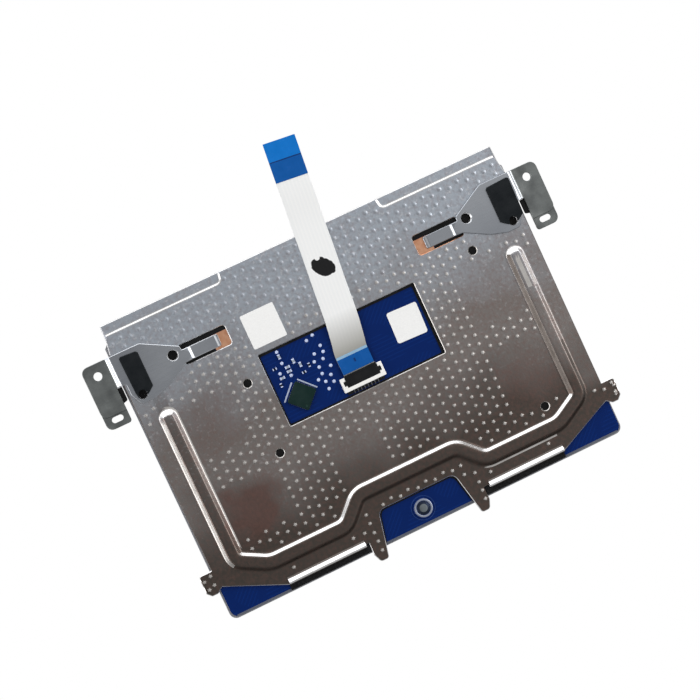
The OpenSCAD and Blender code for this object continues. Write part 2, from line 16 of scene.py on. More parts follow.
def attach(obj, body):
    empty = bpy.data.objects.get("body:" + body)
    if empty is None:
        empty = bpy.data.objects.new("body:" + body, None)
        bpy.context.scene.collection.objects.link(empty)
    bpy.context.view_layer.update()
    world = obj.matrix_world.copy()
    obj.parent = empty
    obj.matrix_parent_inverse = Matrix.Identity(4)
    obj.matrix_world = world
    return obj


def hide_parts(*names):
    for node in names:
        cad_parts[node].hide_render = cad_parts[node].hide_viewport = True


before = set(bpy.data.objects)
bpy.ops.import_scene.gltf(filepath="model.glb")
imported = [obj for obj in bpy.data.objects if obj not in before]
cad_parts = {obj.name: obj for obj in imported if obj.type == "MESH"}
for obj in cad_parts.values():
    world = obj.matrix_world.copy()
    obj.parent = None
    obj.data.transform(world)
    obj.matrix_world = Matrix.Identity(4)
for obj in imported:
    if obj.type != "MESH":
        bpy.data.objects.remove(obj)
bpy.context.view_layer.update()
LOG = logging.getLogger("trackpad")
MM = 0.001  # metres in a millimetre
MIDDLE_Y = 41.0  # depth of the frame's origin behind the front edge of the touch plate
SAME_POINT = 1e-4  # points closer than this count as one
NEVER_ZERO = 1e-9  # least length to divide by
NEARLY_STRAIGHT = math.pi / 2 - 0.01  # half angle of a corner too flat to round
LEAST_MITRE = 0.5  # cosine that holds back the point of a sharp corner
SHARP_EDGE = math.radians(40)  # edges bent further than this stay sharp
CUT_TOLERANCE = 1e-7  # points closer than this are merged when a sheet is cut into triangles

Point = tuple[float, float]
Corner = tuple[float, float, float]
Place = tuple[float, float, float]
Colour = tuple[float, float, float, float]


class Body(Enum):
    """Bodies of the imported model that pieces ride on."""

    MOUNT = "mount"
    PAD = "pad"
    DOME = "dome"
    LATCH = "latch"


class Side(Enum):
    """Left or right half of the module, as the user sees it."""

    LEFT = -1
    RIGHT = 1


class Coat(IntEnum):
    """Place of a finish in a piece's own list."""

    FIRST = 0
    SECOND = 1
    THIRD = 2


class ArmPaint(IntEnum):
    """Finishes of a spring arm, in the order of its list."""

    SPRING = 0
    EAR = 1
    # painted highlight on cut edges and bends
    EDGE = 2


class PlatePaint(IntEnum):
    """Finishes of the base plate, in the order of its list."""

    PLATED = 0
    # painted highlight
    BRIGHT_HIGHLIGHT = 1
    BLACKENED = 2
    # painted copper reflection on a steel edge
    COPPER = 3
    # softer painted highlight
    SOFT_HIGHLIGHT = 4
    # painted shade
    WORN = 5


# ---------------------------------------------------------------- outlines


def at(x: float, y: float, z: float) -> Place:
    """Place in metres of a point given in millimetres from the front edge."""
    return (x * MM, (y - MIDDLE_Y) * MM, z * MM)


def rounded(corners: Sequence[Corner], steps: int = 5) -> list[Point]:
    """Rounds the corners of an outline.

    Args:
        corners: Corners as across, depth and radius.
        steps: Straight pieces in each rounded corner.

    Returns:
        The points of the rounded outline.
    """
    found: list[Point] = []
    count = len(corners)
    for i, (x, y, r) in enumerate(corners):
        here = Vector((x, y))
        before = (Vector(corners[i - 1][:2]) - here).normalized()
        after = (Vector(corners[(i + 1) % count][:2]) - here).normalized()
        half = before.angle(after) / 2
        if r <= 0 or half > NEARLY_STRAIGHT:
            found.append((x, y))
            continue
        centre = here + (before + after).normalized() * (r / math.sin(half))
        start = here + before * (r / math.tan(half)) - centre
        turn = math.pi - 2 * half
        if before.x * after.y - before.y * after.x > 0:
            turn = -turn
        for k in range(steps + 1):
            a = turn * k / steps
            found.append((centre.x + start.x * math.cos(a) - start.y * math.sin(a),
                          centre.y + start.x * math.sin(a) + start.y * math.cos(a)))
    return found


def rectangle(x0: float, y0: float, x1: float, y1: float, r: float = 0.0) -> list[Point]:
    """Outline of a rectangle with one corner radius."""
    return rounded([(x0, y0, r), (x1, y0, r), (x1, y1, r), (x0, y1, r)])


def circle(x: float, y: float, r: float, count: int = 32) -> list[Point]:
    """Points of a circle."""
    return [(x + r * math.cos(a), y + r * math.sin(a))
            for a in (2 * math.pi * k / count for k in range(count))]


def both_halves(half: Sequence[Corner]) -> list[Corner]:
    """Closes a symmetrical outline from its right half."""
    return list(half) + [(-x, y, r) for x, y, r in reversed(half)]


def turned(points: Sequence[Point], degrees: float, x: float, y: float) -> list[Point]:
    """Turns points about the origin and then moves them to a place."""
    c, s = math.cos(math.radians(degrees)), math.sin(math.radians(degrees))
    return [(x + px * c - py * s, y + px * s + py * c) for px, py in points]


def oriented(loop: Sequence[Point], anticlockwise: bool) -> list[Point]:
    """Gives a loop the wanted direction and drops its double points.

    Args:
        loop: Closed loop.
        anticlockwise: Wanted direction, as seen from above.

    Returns:
        The points in that direction.
    """
    kept = [p for i, p in enumerate(loop) if math.dist(p, loop[i - 1]) > SAME_POINT]
    area = sum(kept[i - 1][0] * p[1] - p[0] * kept[i - 1][1] for i, p in enumerate(kept))
    return kept if (area > 0) == anticlockwise else kept[::-1]


def drawn_in(loop: Sequence[Point], distance: float) -> list[Point]:
    """Moves a loop to its left side.

    Args:
        loop: Closed loop with the material on its left.
        distance: How far it moves.

    Returns:
        The moved loop, with as many points.
    """
    if distance == 0:
        return list(loop)
    p = np.array(loop)
    ahead = np.roll(p, -1, 0) - p
    ahead /= np.maximum(np.linalg.norm(ahead, axis=1, keepdims=True), NEVER_ZERO)
    left = np.stack([-ahead[:, 1], ahead[:, 0]], 1)
    mean = left + np.roll(left, 1, 0)
    mean /= np.maximum(np.linalg.norm(mean, axis=1, keepdims=True), NEVER_ZERO)
    reach = 1 / np.maximum((mean * left).sum(1, keepdims=True), LEAST_MITRE)
    return [tuple(q) for q in p + mean * reach * distance]


def beside(path: Sequence[Point], distance: float) -> list[Point]:
    """Moves an open line to its left side.

    Args:
        path: Points of the line.
        distance: How far it moves, negative to the right.

    Returns:
        The moved line, with as many points.
    """
    points = [Vector(p) for p in path]
    found: list[Point] = []
    for i, here in enumerate(points):
        before = (points[max(i, 1)] - points[max(i, 1) - 1]).normalized()
        after = (points[i + 1] - here).normalized() if i < len(points) - 1 else before
        left = Vector((-(before + after).y, (before + after).x)).normalized()
        reach = distance / max(left.dot(Vector((-after.y, after.x))), LEAST_MITRE)
        found.append(tuple(here + left * reach))
    return found


def softened(path: Sequence[Point], cut: float, steps: int = 5) -> list[Point]:
    """Rounds the bends of an open line.

    Args:
        path: Points of the line.
        cut: How far from each bend its curve starts and ends.
        steps: Straight pieces in each curve.

    Returns:
        The line with its bends rounded.
    """
    found = [tuple(path[0])]
    for before, bend, after in zip(path, path[1:], path[2:]):
        here = Vector(bend)
        start = here + (Vector(before) - here).normalized() * cut
        end = here + (Vector(after) - here).normalized() * cut
        for k in range(steps + 1):
            t = k / steps
            found.append(tuple(start * (1 - t) ** 2 + here * (2 * t * (1 - t)) + end * t ** 2))
    return found + [tuple(path[-1])]


def spaced(points: Sequence[Point], step: float) -> list[Point]:
    """Adds points to a line so that none is further than a step from the next.

    Args:
        points: Points of the line.
        step: Longest distance between neighbours.

    Returns:
        The old points and the new ones between them.
    """
    found: list[Point] = []
    for a, b in zip(points, points[1:]):
        count = max(1, math.ceil(math.dist(a, b) / step))
        found += [(a[0] + (b[0] - a[0]) * k / count, a[1] + (b[1] - a[1]) * k / count)
                  for k in range(count)]
    return found + [tuple(points[-1])]


def within(xy: np.ndarray, loop: Sequence[Point]) -> np.ndarray:
    """Tells which points lie inside a loop.

    Args:
        xy: Points, one in each row.
        loop: Closed loop.

    Returns:
        True for each point inside.
    """
    inside = np.zeros(len(xy), bool)
    for i, b in enumerate(loop):
        a = loop[i - 1]
        if a[1] == b[1]:
            continue
        crossed = (xy[:, 1] < a[1]) != (xy[:, 1] < b[1])
        inside ^= crossed & (xy[:, 0] < (b[0] - a[0]) * (xy[:, 1] - a[1]) / (b[1] - a[1]) + a[0])
    return inside


def distance_to(path: Sequence[Point], xy: np.ndarray) -> np.ndarray:
    """Distance of points from an open line.

    Args:
        path: Points of the line.
        xy: Points, one in each row.

    Returns:
        The distance of each point.
    """
    best = np.full(len(xy), np.inf)
    for a, b in zip(path, path[1:]):
        start, along = np.array(a), np.array(b) - np.array(a)
        t = np.clip(((xy - start) @ along) / (along @ along), 0, 1)
        best = np.minimum(best, np.linalg.norm(xy - start - t[:, None] * along, axis=1))
    return best


def eased(value: np.ndarray, start: float, end: float) -> np.ndarray:
    """Smooth step from 0 at start to 1 at end."""
    t = np.clip((value - start) / (end - start), 0, 1)
    return t * t * (3 - 2 * t)


# ---------------------------------------------------------------- shader graph


def rgb(red: int, green: int, blue: int) -> Colour:
    """Works out a linear colour by the standard screen curve.

    Args:
        red: Screen value from 0 to 255.
        green: Screen value from 0 to 255.
        blue: Screen value from 0 to 255.

    Returns:
        The linear colour, opaque.
    """
    linear = [v / 12.92 if v <= 0.04045 else ((v + 0.055) / 1.055) ** 2.4
              for v in (red / 255, green / 255, blue / 255)]
    return (*linear, 1.0)


class Wire:
    """Output socket of a node, with arithmetic that adds Math nodes."""

    def __init__(self, graph: "Graph", socket: bpy.types.NodeSocket) -> None:
        """Keeps the graph and the socket."""
        self.graph = graph
        self.socket = socket

    def __add__(self, other: "Wire | float") -> "Wire":
        """Sum of two values."""
        return self.graph.maths("ADD", self, other)

    def __radd__(self, other: float) -> "Wire":
        """Sum with a number on the left."""
        return self.graph.maths("ADD", other, self)

    def __sub__(self, other: "Wire | float") -> "Wire":
        """Difference of two values."""
        return self.graph.maths("SUBTRACT", self, other)

    def __rsub__(self, other: float) -> "Wire":
        """Difference with a number on the left."""
        return self.graph.maths("SUBTRACT", other, self)

    def __mul__(self, other: "Wire | float") -> "Wire":
        """Product of two values."""
        return self.graph.maths("MULTIPLY", self, other)

    def __rmul__(self, other: float) -> "Wire":
        """Product with a number on the left."""
        return self.graph.maths("MULTIPLY", other, self)

    def __gt__(self, other: "Wire | float") -> "Wire":
        """1 where this value is larger, else 0."""
        return self.graph.maths("GREATER_THAN", self, other)

    def __lt__(self, other: "Wire | float") -> "Wire":
        """1 where this value is smaller, else 0."""
        return self.graph.maths("LESS_THAN", self, other)

    def __abs__(self) -> "Wire":
        """Value without its sign."""
        return self.graph.maths("ABSOLUTE", self)

    def stretched(self, low: float, high: float) -> "Wire":
        """0 at low and 1 at high, held between them."""
        return self.graph.maths("MULTIPLY", self - low, 1 / (high - low), clamp=True)


class Graph:
    """Node tree of one material."""

    def __init__(self, tree: bpy.types.NodeTree) -> None:
        """Empties the tree."""
        self.tree = tree
        tree.nodes.clear()

    def node(self, kind: str, settings: dict | None = None,
             inputs: dict | None = None) -> bpy.types.Node:
        """Adds one node.

        Args:
            kind: Node type.
            settings: Properties of the node, which are set first.
            inputs: Values or wires by socket name or number.

        Returns:
            The new node.
        """
        made = self.tree.nodes.new(kind)
        for name, value in (settings or {}).items():
            setattr(made, name, value)
        for name, value in (inputs or {}).items():
            if isinstance(value, Wire):
                self.tree.links.new(value.socket, made.inputs[name])
            else:
                made.inputs[name].default_value = value
        return made

    def wire(self, kind: str, output: str | int, settings: dict | None = None,
             inputs: dict | None = None) -> Wire:
        """Adds one node and returns one of its outputs."""
        return Wire(self, self.node(kind, settings, inputs).outputs[output])

    def maths(self, operation: str, *values: "Wire | float", clamp: bool = False) -> Wire:
        """Adds a Math node."""
        return self.wire("ShaderNodeMath", 0, {"operation": operation, "use_clamp": clamp},
                         dict(enumerate(values)))

    def place(self, stretch: Place = (1.0, 1.0, 1.0)) -> Wire:
        """Place on the object in millimetres.

        Args:
            stretch: Factor along each axis.

        Returns:
            The stretched place.
        """
        found = self.wire("ShaderNodeTexCoord", "Object")
        scale = tuple(s / MM for s in stretch)
        return self.wire("ShaderNodeVectorMath", 0, {"operation": "MULTIPLY"}, {0: found, 1: scale})

    def axis(self, name: str) -> Wire:
        """One coordinate of the place, in millimetres."""
        return self.wire("ShaderNodeSeparateXYZ", name, None, {0: self.place()})

    def noise(self, scale: float, detail: float = 2.0, stretch: Place = (1.0, 1.0, 1.0)) -> Wire:
        """Soft noise with about that many grains in a millimetre."""
        return self.wire("ShaderNodeTexNoise", 0, None,
                         {"Vector": self.place(stretch), "Scale": scale, "Detail": detail})

    def cells(self, scale: float) -> Wire:
        """Distance to the nearest of many scattered points."""
        return self.wire("ShaderNodeTexVoronoi", "Distance", None,
                         {"Vector": self.place(), "Scale": scale})

    def blend(self, mask: "Wire | float", low: "Wire | Colour", high: "Wire | Colour") -> Wire:
        """Mixes two colours, which are sockets 6 and 7 and output 2 of the Mix node."""
        return self.wire("ShaderNodeMix", 2, {"data_type": "RGBA"}, {0: mask, 6: low, 7: high})

    def bump(self, height: Wire, strength: float, depth: float) -> Wire:
        """Normal of a relief, its depth in millimetres."""
        return self.wire("ShaderNodeBump", 0, None,
                         {"Height": height, "Strength": strength, "Distance": depth * MM})

    def end(self, shader: Wire, kind: str = "ShaderNodeOutputMaterial") -> None:
        """Ends the tree in a shader."""
        self.node(kind, None, {0: shader})


# ---------------------------------------------------------------- finishes


@dataclass(frozen=True)
class Finish:
    """Base of all finishes: a named material that is made once."""

    name: str
    made: ClassVar[dict[str, bpy.types.Material]] = {}

    def sockets(self, graph: Graph) -> dict:
        """Values and wires for the shader."""
        raise NotImplementedError

    def material(self) -> bpy.types.Material:
        """Material of this finish, made on first use.

        Returns:
            The one material of this name.
        """
        if self.name not in self.made:
            found = bpy.data.materials.new(self.name + "_finish")
            found.use_nodes = True
            graph = Graph(found.node_tree)
            graph.end(graph.wire("ShaderNodeBsdfPrincipled", 0, None, self.sockets(graph)))
            self.made[self.name] = found
        return self.made[self.name]


@dataclass(frozen=True)
class Metal(Finish):
    """Sheet metal with cloudy plating and fine rolling marks."""

    light: Colour
    dark: Colour
    rough: float = 0.34
    cloud: float = 0.05
    marks: Place = (0.5, 6.0, 1.0)
    relief: float = 0.25
    streak_range: float = 0.16
    relief_depth: float = 0.02

    def sockets(self, graph: Graph) -> dict:
        """Cloudy colour, streaked roughness and a fine relief.

        Args:
            graph: Node tree of the material.

        Returns:
            Values and wires by socket name.
        """
        cloud = graph.noise(self.cloud, 3)
        streaks = graph.noise(1.0, 2, self.marks)
        grain = graph.noise(3.0, 1) * 0.5
        return {"Base Color": graph.blend(cloud.stretched(0.3, 0.7), self.dark, self.light),
                "Metallic": 1.0,
                "Roughness": self.rough + (streaks - 0.5) * self.streak_range,
                "Normal": graph.bump(streaks + grain, self.relief, self.relief_depth)}


@dataclass(frozen=True)
class StampedPlate(Finish):
    """Plated base sheet with a painted reflection, cooler and paler to the rear and warmer to the
    front.

    Places in its fields are in millimetres from the frame's origin.
    """

    rear: Colour
    middle: Colour
    front: Colour
    dark_brown_tone: Colour
    speck: Colour
    flat_x: float = 40.5
    rear_flat_y: float = 8.5
    front_flat_y: float = -16.5
    strip_x: float = 53.4
    rib_x: float = 51.2
    rough: float = 0.36

    def flats(self, graph: Graph, x: Wire, y: Wire) -> Wire:
        """Mask of the smooth flats, which are darker brown instead of mottled.

        Args:
            graph: Node tree of the material.
            x: Place across.
            y: Place in depth.

        Returns:
            The mask, stronger at the front and on the right side.
        """
        drift = (graph.noise(0.13, 2) - 0.5) * 12
        across = abs(abs(x + drift) - self.flat_x).stretched(9.4, 4.6)
        rear_row = abs(y + drift - self.rear_flat_y).stretched(10.2, 5.4)
        front_row = abs(y + drift - self.front_flat_y).stretched(8.8, 4.0)
        return across * (rear_row * 0.3 + front_row) * (0.24 + x.stretched(-20, 20) * 0.4)

    def sockets(self, graph: Graph) -> dict:
        """Painted reflection over the depth, with brown flats, mottles, painted glints and a
        pebbled relief.

        Args:
            graph: Node tree of the material.

        Returns:
            Values and wires by socket name.
        """
        x, y = graph.axis("X"), graph.axis("Y")
        flats = self.flats(graph, x, y)
        # painted reflection: front, middle and rear colours blended over the depth, pale and cool
        # to the rear
        depth = y + (graph.noise(0.045, 2) - 0.5) * 30
        cool = depth.stretched(6, 31)
        mottle = graph.noise(1.0, 3)
        colour = graph.blend(depth.stretched(-24, -5), self.front, self.middle)
        colour = graph.blend(cool, colour, self.rear)
        # painted highlight: a paler streak outside the left side rib, toward the front
        low_end = (1 - y.stretched(-26, -4)) * y.stretched(-28, -23)
        strip = (0 - x).stretched(self.strip_x, self.strip_x + 1)
        colour = graph.blend(low_end * strip * 0.7, colour, self.middle)
        # painted reflection: the crest of the right side rib darkened with the front colour, less
        # to the rear
        crest = abs(x - self.rib_x).stretched(2.2, 1.4)
        colour = graph.blend(crest * (1 - cool) * 0.6, colour, self.front)
        # darker brown on the smooth flats, mottled brown elsewhere
        dark_brown_mask = flats + mottle.stretched(0.4, 0.75) * (1 - flats) * 0.42
        colour = graph.blend(dark_brown_mask, colour, self.dark_brown_tone)
        # pale specks of the pebbled plating, painted as glints, strongest toward the rear
        specks = graph.noise(1.2, 2).stretched(0.58, 0.74)
        pebbled = specks * (1 - flats) * (cool * 0.7 + depth.stretched(-20, 0) * 0.3) * 0.6
        return {"Base Color": graph.blend(pebbled, colour, self.speck),
                "Metallic": 1.0,
                "Roughness": self.rough + (mottle - 0.5) * 0.3,
                "Normal": graph.bump(mottle + graph.noise(1.6, 2), 0.4, 0.05)}


@dataclass(frozen=True)
class Moulded(Finish):
    """Moulded plastic or rubber with a fine eroded grain."""

    colour: Colour
    rough: float = 0.5
    grain: float = 6.0
    relief: float = 0.3
    shift: float = 0.12
    shine: float = 0.14

    def sockets(self, graph: Graph) -> dict:
        """Slightly uneven colour and a grain relief.

        Args:
            graph: Node tree of the material.

        Returns:
            Values and wires by socket name.
        """
        cloud = graph.noise(0.35, 2)
        grain = graph.noise(self.grain, 2)
        worn = tuple(min(1.0, c * (1 + self.shift) + self.shift * 0.04) for c in self.colour[:3])
        return {"Base Color": graph.blend(cloud.stretched(0.35, 0.65), self.colour, (*worn, 1.0)),
                "Roughness": self.rough + (cloud - 0.5) * 0.1,
                "Specular IOR Level": self.shine,
                "Normal": graph.bump(grain, self.relief, 0.02)}


@dataclass(frozen=True)
class Foam(Finish):
    """Black foam with open cells."""

    colour: Colour
    cell_scale: float = 3.2
    rough: float = 0.92
    shine: float = 0.15

    def sockets(self, graph: Graph) -> dict:
        """Dark cells with paler walls.

        Args:
            graph: Node tree of the material.

        Returns:
            Values and wires by socket name.
        """
        cells = graph.cells(self.cell_scale)
        pale = tuple(c * 2.6 + 0.006 for c in self.colour[:3])
        return {"Base Color": graph.blend(cells.stretched(0.25, 0.8), self.colour, (*pale, 1.0)),
                "Roughness": self.rough,
                "Specular IOR Level": self.shine,
                "Normal": graph.bump(cells, 0.7, 0.08)}


@dataclass(frozen=True)
class SolderMask(Finish):
    """Glossy board lacquer over copper tracks."""

    colour: Colour
    track: Colour
    across_rate: float = 6.0
    slanted_rate: float = 4.6
    shine: float = 0.1

    def sockets(self, graph: Graph) -> dict:
        """Straight tracks show faintly under the lacquer, in patches of two directions.

        Args:
            graph: Node tree of the material.

        Returns:
            Values and wires by socket name.
        """
        x, y = graph.axis("X"), graph.axis("Y")
        across = graph.maths("SINE", y * self.across_rate).stretched(0.5, 0.8)
        slanted = graph.maths("SINE", (x + y) * self.slanted_rate).stretched(0.5, 0.8)
        patch = graph.noise(0.09, 0)
        tracks = (across * patch.stretched(0.56, 0.58)
                  + slanted * (0.44 - patch).stretched(0.0, 0.02))
        return {"Base Color": graph.blend(tracks * 0.25, self.colour, self.track),
                "Roughness": 0.34 + graph.noise(0.8, 2) * 0.1,
                "Specular IOR Level": self.shine,
                "Normal": graph.bump(tracks, 0.25, 0.03)}


@dataclass(frozen=True)
class TouchFilm(Finish):
    """Silver touch surface: mica film with a very fine texture."""

    colour: Colour
    shade: Colour
    metal_share: float = 0.35
    rough: float = 0.42

    def sockets(self, graph: Graph) -> dict:
        """Fine sparkle, faint wipes across and a fine relief.

        Args:
            graph: Node tree of the material.

        Returns:
            Values and wires by socket name.
        """
        wipe = graph.noise(0.06, 3)
        grain = graph.noise(7.0, 1)
        mask = wipe.stretched(0.3, 0.7) * 0.5 + (grain - 0.25)
        return {"Base Color": graph.blend(mask, self.shade, self.colour),
                "Metallic": self.metal_share,
                "Roughness": self.rough + (grain - 0.5) * 0.14,
                "Normal": graph.bump(grain, 0.2, 0.01)}


@dataclass(frozen=True)
class CableFilm(Finish):
    """White cable film over flat conductors, with one dab of ink."""

    film: Colour
    gap: Colour
    ink: Colour
    socket_end_shade: Colour
    pitch: float = 1.0
    conductors_half: float = 4.0
    ink_at: Point = (-2.8, 33.6)
    ink_notch: Point = (-2.2, 36.4)
    shine: float = 0.3

    def dab(self, graph: Graph) -> Wire:
        """Mask of the dab of ink on the underside: a ragged oval with a notch.

        Args:
            graph: Node tree of the material.

        Returns:
            The mask.
        """
        x, y = graph.axis("X"), graph.axis("Y")
        dx, dy = x - self.ink_at[0], y - self.ink_at[1]
        along, wide = (dx + dy) * 0.212, (dx - dy) * 0.3
        notch_x, notch_y = x - self.ink_notch[0], y - self.ink_notch[1]
        notch = (notch_x * notch_x + notch_y * notch_y) > 0.5
        oval = along * along + wide * wide + (graph.noise(0.55, 3) - 0.5) * 0.9
        normal = graph.wire("ShaderNodeNewGeometry", "True Normal")
        below = graph.wire("ShaderNodeSeparateXYZ", "Z", None, {0: normal}) < 0.0
        return oval.stretched(1.04, 0.94) * notch * below

    def sockets(self, graph: Graph) -> dict:
        """Faint conductor bands, painted shade at the socket end and the dab of ink.

        Args:
            graph: Node tree of the material.

        Returns:
            Values and wires by socket name.
        """
        uv = graph.wire("ShaderNodeUVMap", 0, {"uv_map": RibbonCable.uv_name})
        across = graph.wire("ShaderNodeSeparateXYZ", "X", None, {0: uv})
        bands = graph.maths("SINE", across * (2 * math.pi / self.pitch)).stretched(-0.2, 0.7)
        inner = (abs(across) < self.conductors_half) * bands
        film = graph.blend(inner * 0.5, self.gap, self.film)
        # painted shade: the film greys toward the socket end
        film = graph.blend(1 - graph.axis("Y").stretched(10.0, 21.0), film, self.socket_end_shade)
        return {"Base Color": graph.blend(self.dab(graph), film, self.ink),
                "Roughness": 0.34 + (graph.noise(1.2, 2) - 0.5) * 0.12,
                "Specular IOR Level": self.shine,
                "Normal": graph.bump(inner, 0.3, 0.02)}


@dataclass(frozen=True)
class Paper(Finish):
    """Bare paper label."""

    colour: Colour
    rough: float = 0.7

    def sockets(self, graph: Graph) -> dict:
        """Faint fibres.

        Args:
            graph: Node tree of the material.

        Returns:
            Values and wires by socket name.
        """
        fibres = graph.noise(2.4, 4, (1.0, 2.2, 1.0))
        shade = tuple(c * 0.93 for c in self.colour[:3])
        return {"Base Color": graph.blend(fibres.stretched(0.3, 0.7), (*shade, 1.0), self.colour),
                "Roughness": self.rough,
                "Normal": graph.bump(fibres, 0.2, 0.01)}


class Palette:
    """All finishes of the module."""

    # the plate's rear, middle and front colours make a painted reflection
    plate = StampedPlate("plated_base_steel", rgb(188, 196, 206), rgb(142, 136, 133),
                         rgb(88, 81, 76), rgb(114, 84, 77), rgb(222, 224, 228))
    # painted shade
    worn = Metal("painted_shade_steel", rgb(104, 98, 94), rgb(88, 82, 78), 0.4, 0.3)
    # softer painted highlight
    soft_highlight = Metal("soft_highlight_steel", rgb(214, 211, 208), rgb(192, 188, 184), 0.36, 0.3)
    # painted highlight, the brightest
    bright_highlight = Metal("bright_highlight_steel", rgb(236, 236, 238), rgb(214, 212, 210), 0.26, 0.3)
    spring = Metal("satin_spring_steel", rgb(172, 176, 182), rgb(154, 158, 165), 0.3)
    # painted highlight
    spring_edge_highlight = Metal("painted_spring_highlight_steel", rgb(226, 229, 233), rgb(206, 209, 214), 0.3)
    ear = Metal("ear_spring_steel", rgb(134, 138, 137), rgb(98, 101, 101), 0.42, 0.2)
    # near black; on the ear's inner step it is painted shade
    blackened = Moulded("near_black_steel", rgb(20, 20, 21), 0.4)
    dull_tin = Metal("dull_tin", rgb(126, 128, 134), rgb(98, 100, 106), 0.36, 0.8)
    contact_tin = Metal("contact_tin", rgb(176, 178, 184), rgb(158, 160, 166), 0.42, 0.2)
    copper = Metal("bare_copper", rgb(236, 184, 150), rgb(214, 152, 118), 0.36, 0.6)
    dome = Metal("dome_steel", rgb(138, 146, 150), rgb(112, 120, 126), 0.3, 0.5)
    dome_skirt = Metal("dome_skirt_steel", rgb(52, 60, 78), rgb(36, 44, 62), 0.36, 0.5)
    touch = TouchFilm("silver_touch_film", rgb(204, 200, 204), rgb(190, 186, 191))
    touch_edge = Moulded("ground_plate_edge", rgb(148, 149, 152), 0.35)
    glue = Moulded("clear_glue_film", rgb(196, 190, 172), 0.4)
    board = SolderMask("navy_solder_mask", rgb(2, 33, 94), rgb(10, 52, 128))
    # black tape; inside the plate's openings its black also stands in for shade
    tape = Moulded("black_tape_and_shade", rgb(7, 7, 8), 0.5)
    foam = Foam("open_cell_foam", rgb(14, 14, 15))
    rubber = Moulded("soft_black_rubber", rgb(13, 18, 22), 0.6, 3.0, 0.5)
    chip = Moulded("dark_chip_resin", rgb(13, 37, 34), 0.42, 9.0, 0.4)
    pin_mark = Moulded("chip_pin_mark", rgb(30, 56, 48), 0.35)
    ceramic = Moulded("grey_ceramic", rgb(150, 160, 172), 0.45)
    resist = Moulded("black_resistor_glaze", rgb(24, 24, 28), 0.3)
    silk = Moulded("white_board_ink", rgb(176, 186, 208), 0.5)
    faint_silk = Moulded("faint_board_ink", rgb(34, 62, 122), 0.5)
    bare_rim = Moulded("bare_board_rim", rgb(92, 96, 106), 0.5)
    solder = Moulded("pale_solder_dots", rgb(196, 208, 238), 0.4)
    socket = Moulded("white_socket_plastic", rgb(247, 246, 243), 0.42, 5.0, 0.15, 0.03)
    latch = Moulded("black_latch_plastic", rgb(16, 17, 19), 0.58)
    # the fourth colour is painted shade at the socket end
    cable = CableFilm("white_cable_film", rgb(249, 249, 248), rgb(243, 244, 244), rgb(14, 14, 16),
                      rgb(158, 157, 151))
    stiffener = Moulded("blue_stiffener_film", rgb(14, 112, 196), 0.26, 2.0, 0.1, 0.06)
    stiffener_low = Moulded("deep_blue_stiffener_film", rgb(12, 84, 158), 0.26, 2.0, 0.1, 0.06)
    stiffener_line = Moulded("stiffener_print", rgb(12, 48, 104), 0.4)
    # painted highlight on the stiffener's rear edge
    stiffener_edge_highlight = Moulded("stiffener_edge_highlight_film", rgb(140, 176, 204), 0.3)
    switch_body = Moulded("switch_body_plastic", rgb(18, 46, 108), 0.32)
    switch_ring = Metal("switch_ring_steel", rgb(186, 192, 206), rgb(158, 166, 182), 0.34, 0.7)
    paper = Paper("plain_label_paper", rgb(250, 250, 249))


# ---------------------------------------------------------------- shapes


def in_scene(name: str, data: bpy.types.ID) -> bpy.types.Object:
    """Makes an object and adds it to the scene.

    Args:
        name: Its name.
        data: Its mesh, lamp or camera.

    Returns:
        The object.
    """
    made = bpy.data.objects.new(name, data)
    bpy.context.scene.collection.objects.link(made)
    return made


class Shape:
    """Points and faces in millimetres, counted from the front edge of the touch plate."""

    def __init__(self) -> None:
        """Starts empty."""
        self.points: list[Place] = []
        self.faces: list[tuple[int, ...]] = []
        self.paints: list[int] = []

    def add(self, points: Sequence[Place], faces: Sequence[Sequence[int]],
            paint: int = Coat.FIRST) -> "Shape":
        """Adds points and faces.

        Args:
            points: New points.
            faces: Faces, counted from the first new point.
            paint: Number of the finish in the piece's list.

        Returns:
            This shape.
        """
        start = len(self.points)
        self.points += [tuple(p) for p in points]
        self.faces += [tuple(start + i for i in f) for f in faces]
        self.paints += [paint] * len(faces)
        return self

    def join(self, other: "Shape", paint: int | None = None) -> "Shape":
        """Adds another shape.

        Args:
            other: The shape to add.
            paint: Number of one finish for all of it, or None to keep its own.

        Returns:
            This shape.
        """
        start = len(self.points)
        self.points += other.points
        self.faces += [tuple(start + i for i in f) for f in other.faces]
        self.paints += other.paints if paint is None else [paint] * len(other.faces)
        return self

    def on(self, side: Side) -> "Shape":
        """The same shape on one side of the module.

        Args:
            side: The side; shapes are built for the right one.

        Returns:
            This shape, or its mirror image.
        """
        if side is Side.RIGHT:
            return self
        made = Shape()
        made.points = [(-x, y, z) for x, y, z in self.points]
        made.faces = [tuple(reversed(f)) for f in self.faces]
        made.paints = list(self.paints)
        return made

    def moved(self, change: Callable[[Place], Place]) -> "Shape":
        """The same shape with every point moved.

        Args:
            change: Gives the new place of a point.

        Returns:
            The moved shape.
        """
        made = Shape()
        made.points = [change(p) for p in self.points]
        made.faces, made.paints = list(self.faces), list(self.paints)
        return made

    def piece(self, name: str, finishes: Sequence[Finish], body: Body, slot: str,
              replaces: Sequence[str] = ()) -> bpy.types.Object:
        """Makes the Blender object.

        Args:
            name: Name of the piece.
            finishes: Its finishes, in the order of the paints.
            body: Body it rides on.
            slot: Material slot of the record; not used.
            replaces: CAD nodes it stands for.

        Returns:
            The new object.
        """
        mesh = bpy.data.meshes.new(name)
        mesh.from_pydata([at(*p) for p in self.points], [], self.faces)
        for finish in finishes:
            mesh.materials.append(finish.material())
        mesh.polygons.foreach_set("material_index", [int(p) for p in self.paints])
        mesh.validate()
        mesh.shade_smooth()
        mesh.set_sharp_from_angle(angle=SHARP_EDGE)
        mesh.update()
        made = in_scene(name, mesh)
        weighted = made.modifiers.new("even_shading", "WEIGHTED_NORMAL")
        weighted.keep_sharp = True
        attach(made, body.value)
        if replaces:
            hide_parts(*replaces)
        LOG.info("%s: %d faces on %s", name, len(self.faces), body.value)
        return made


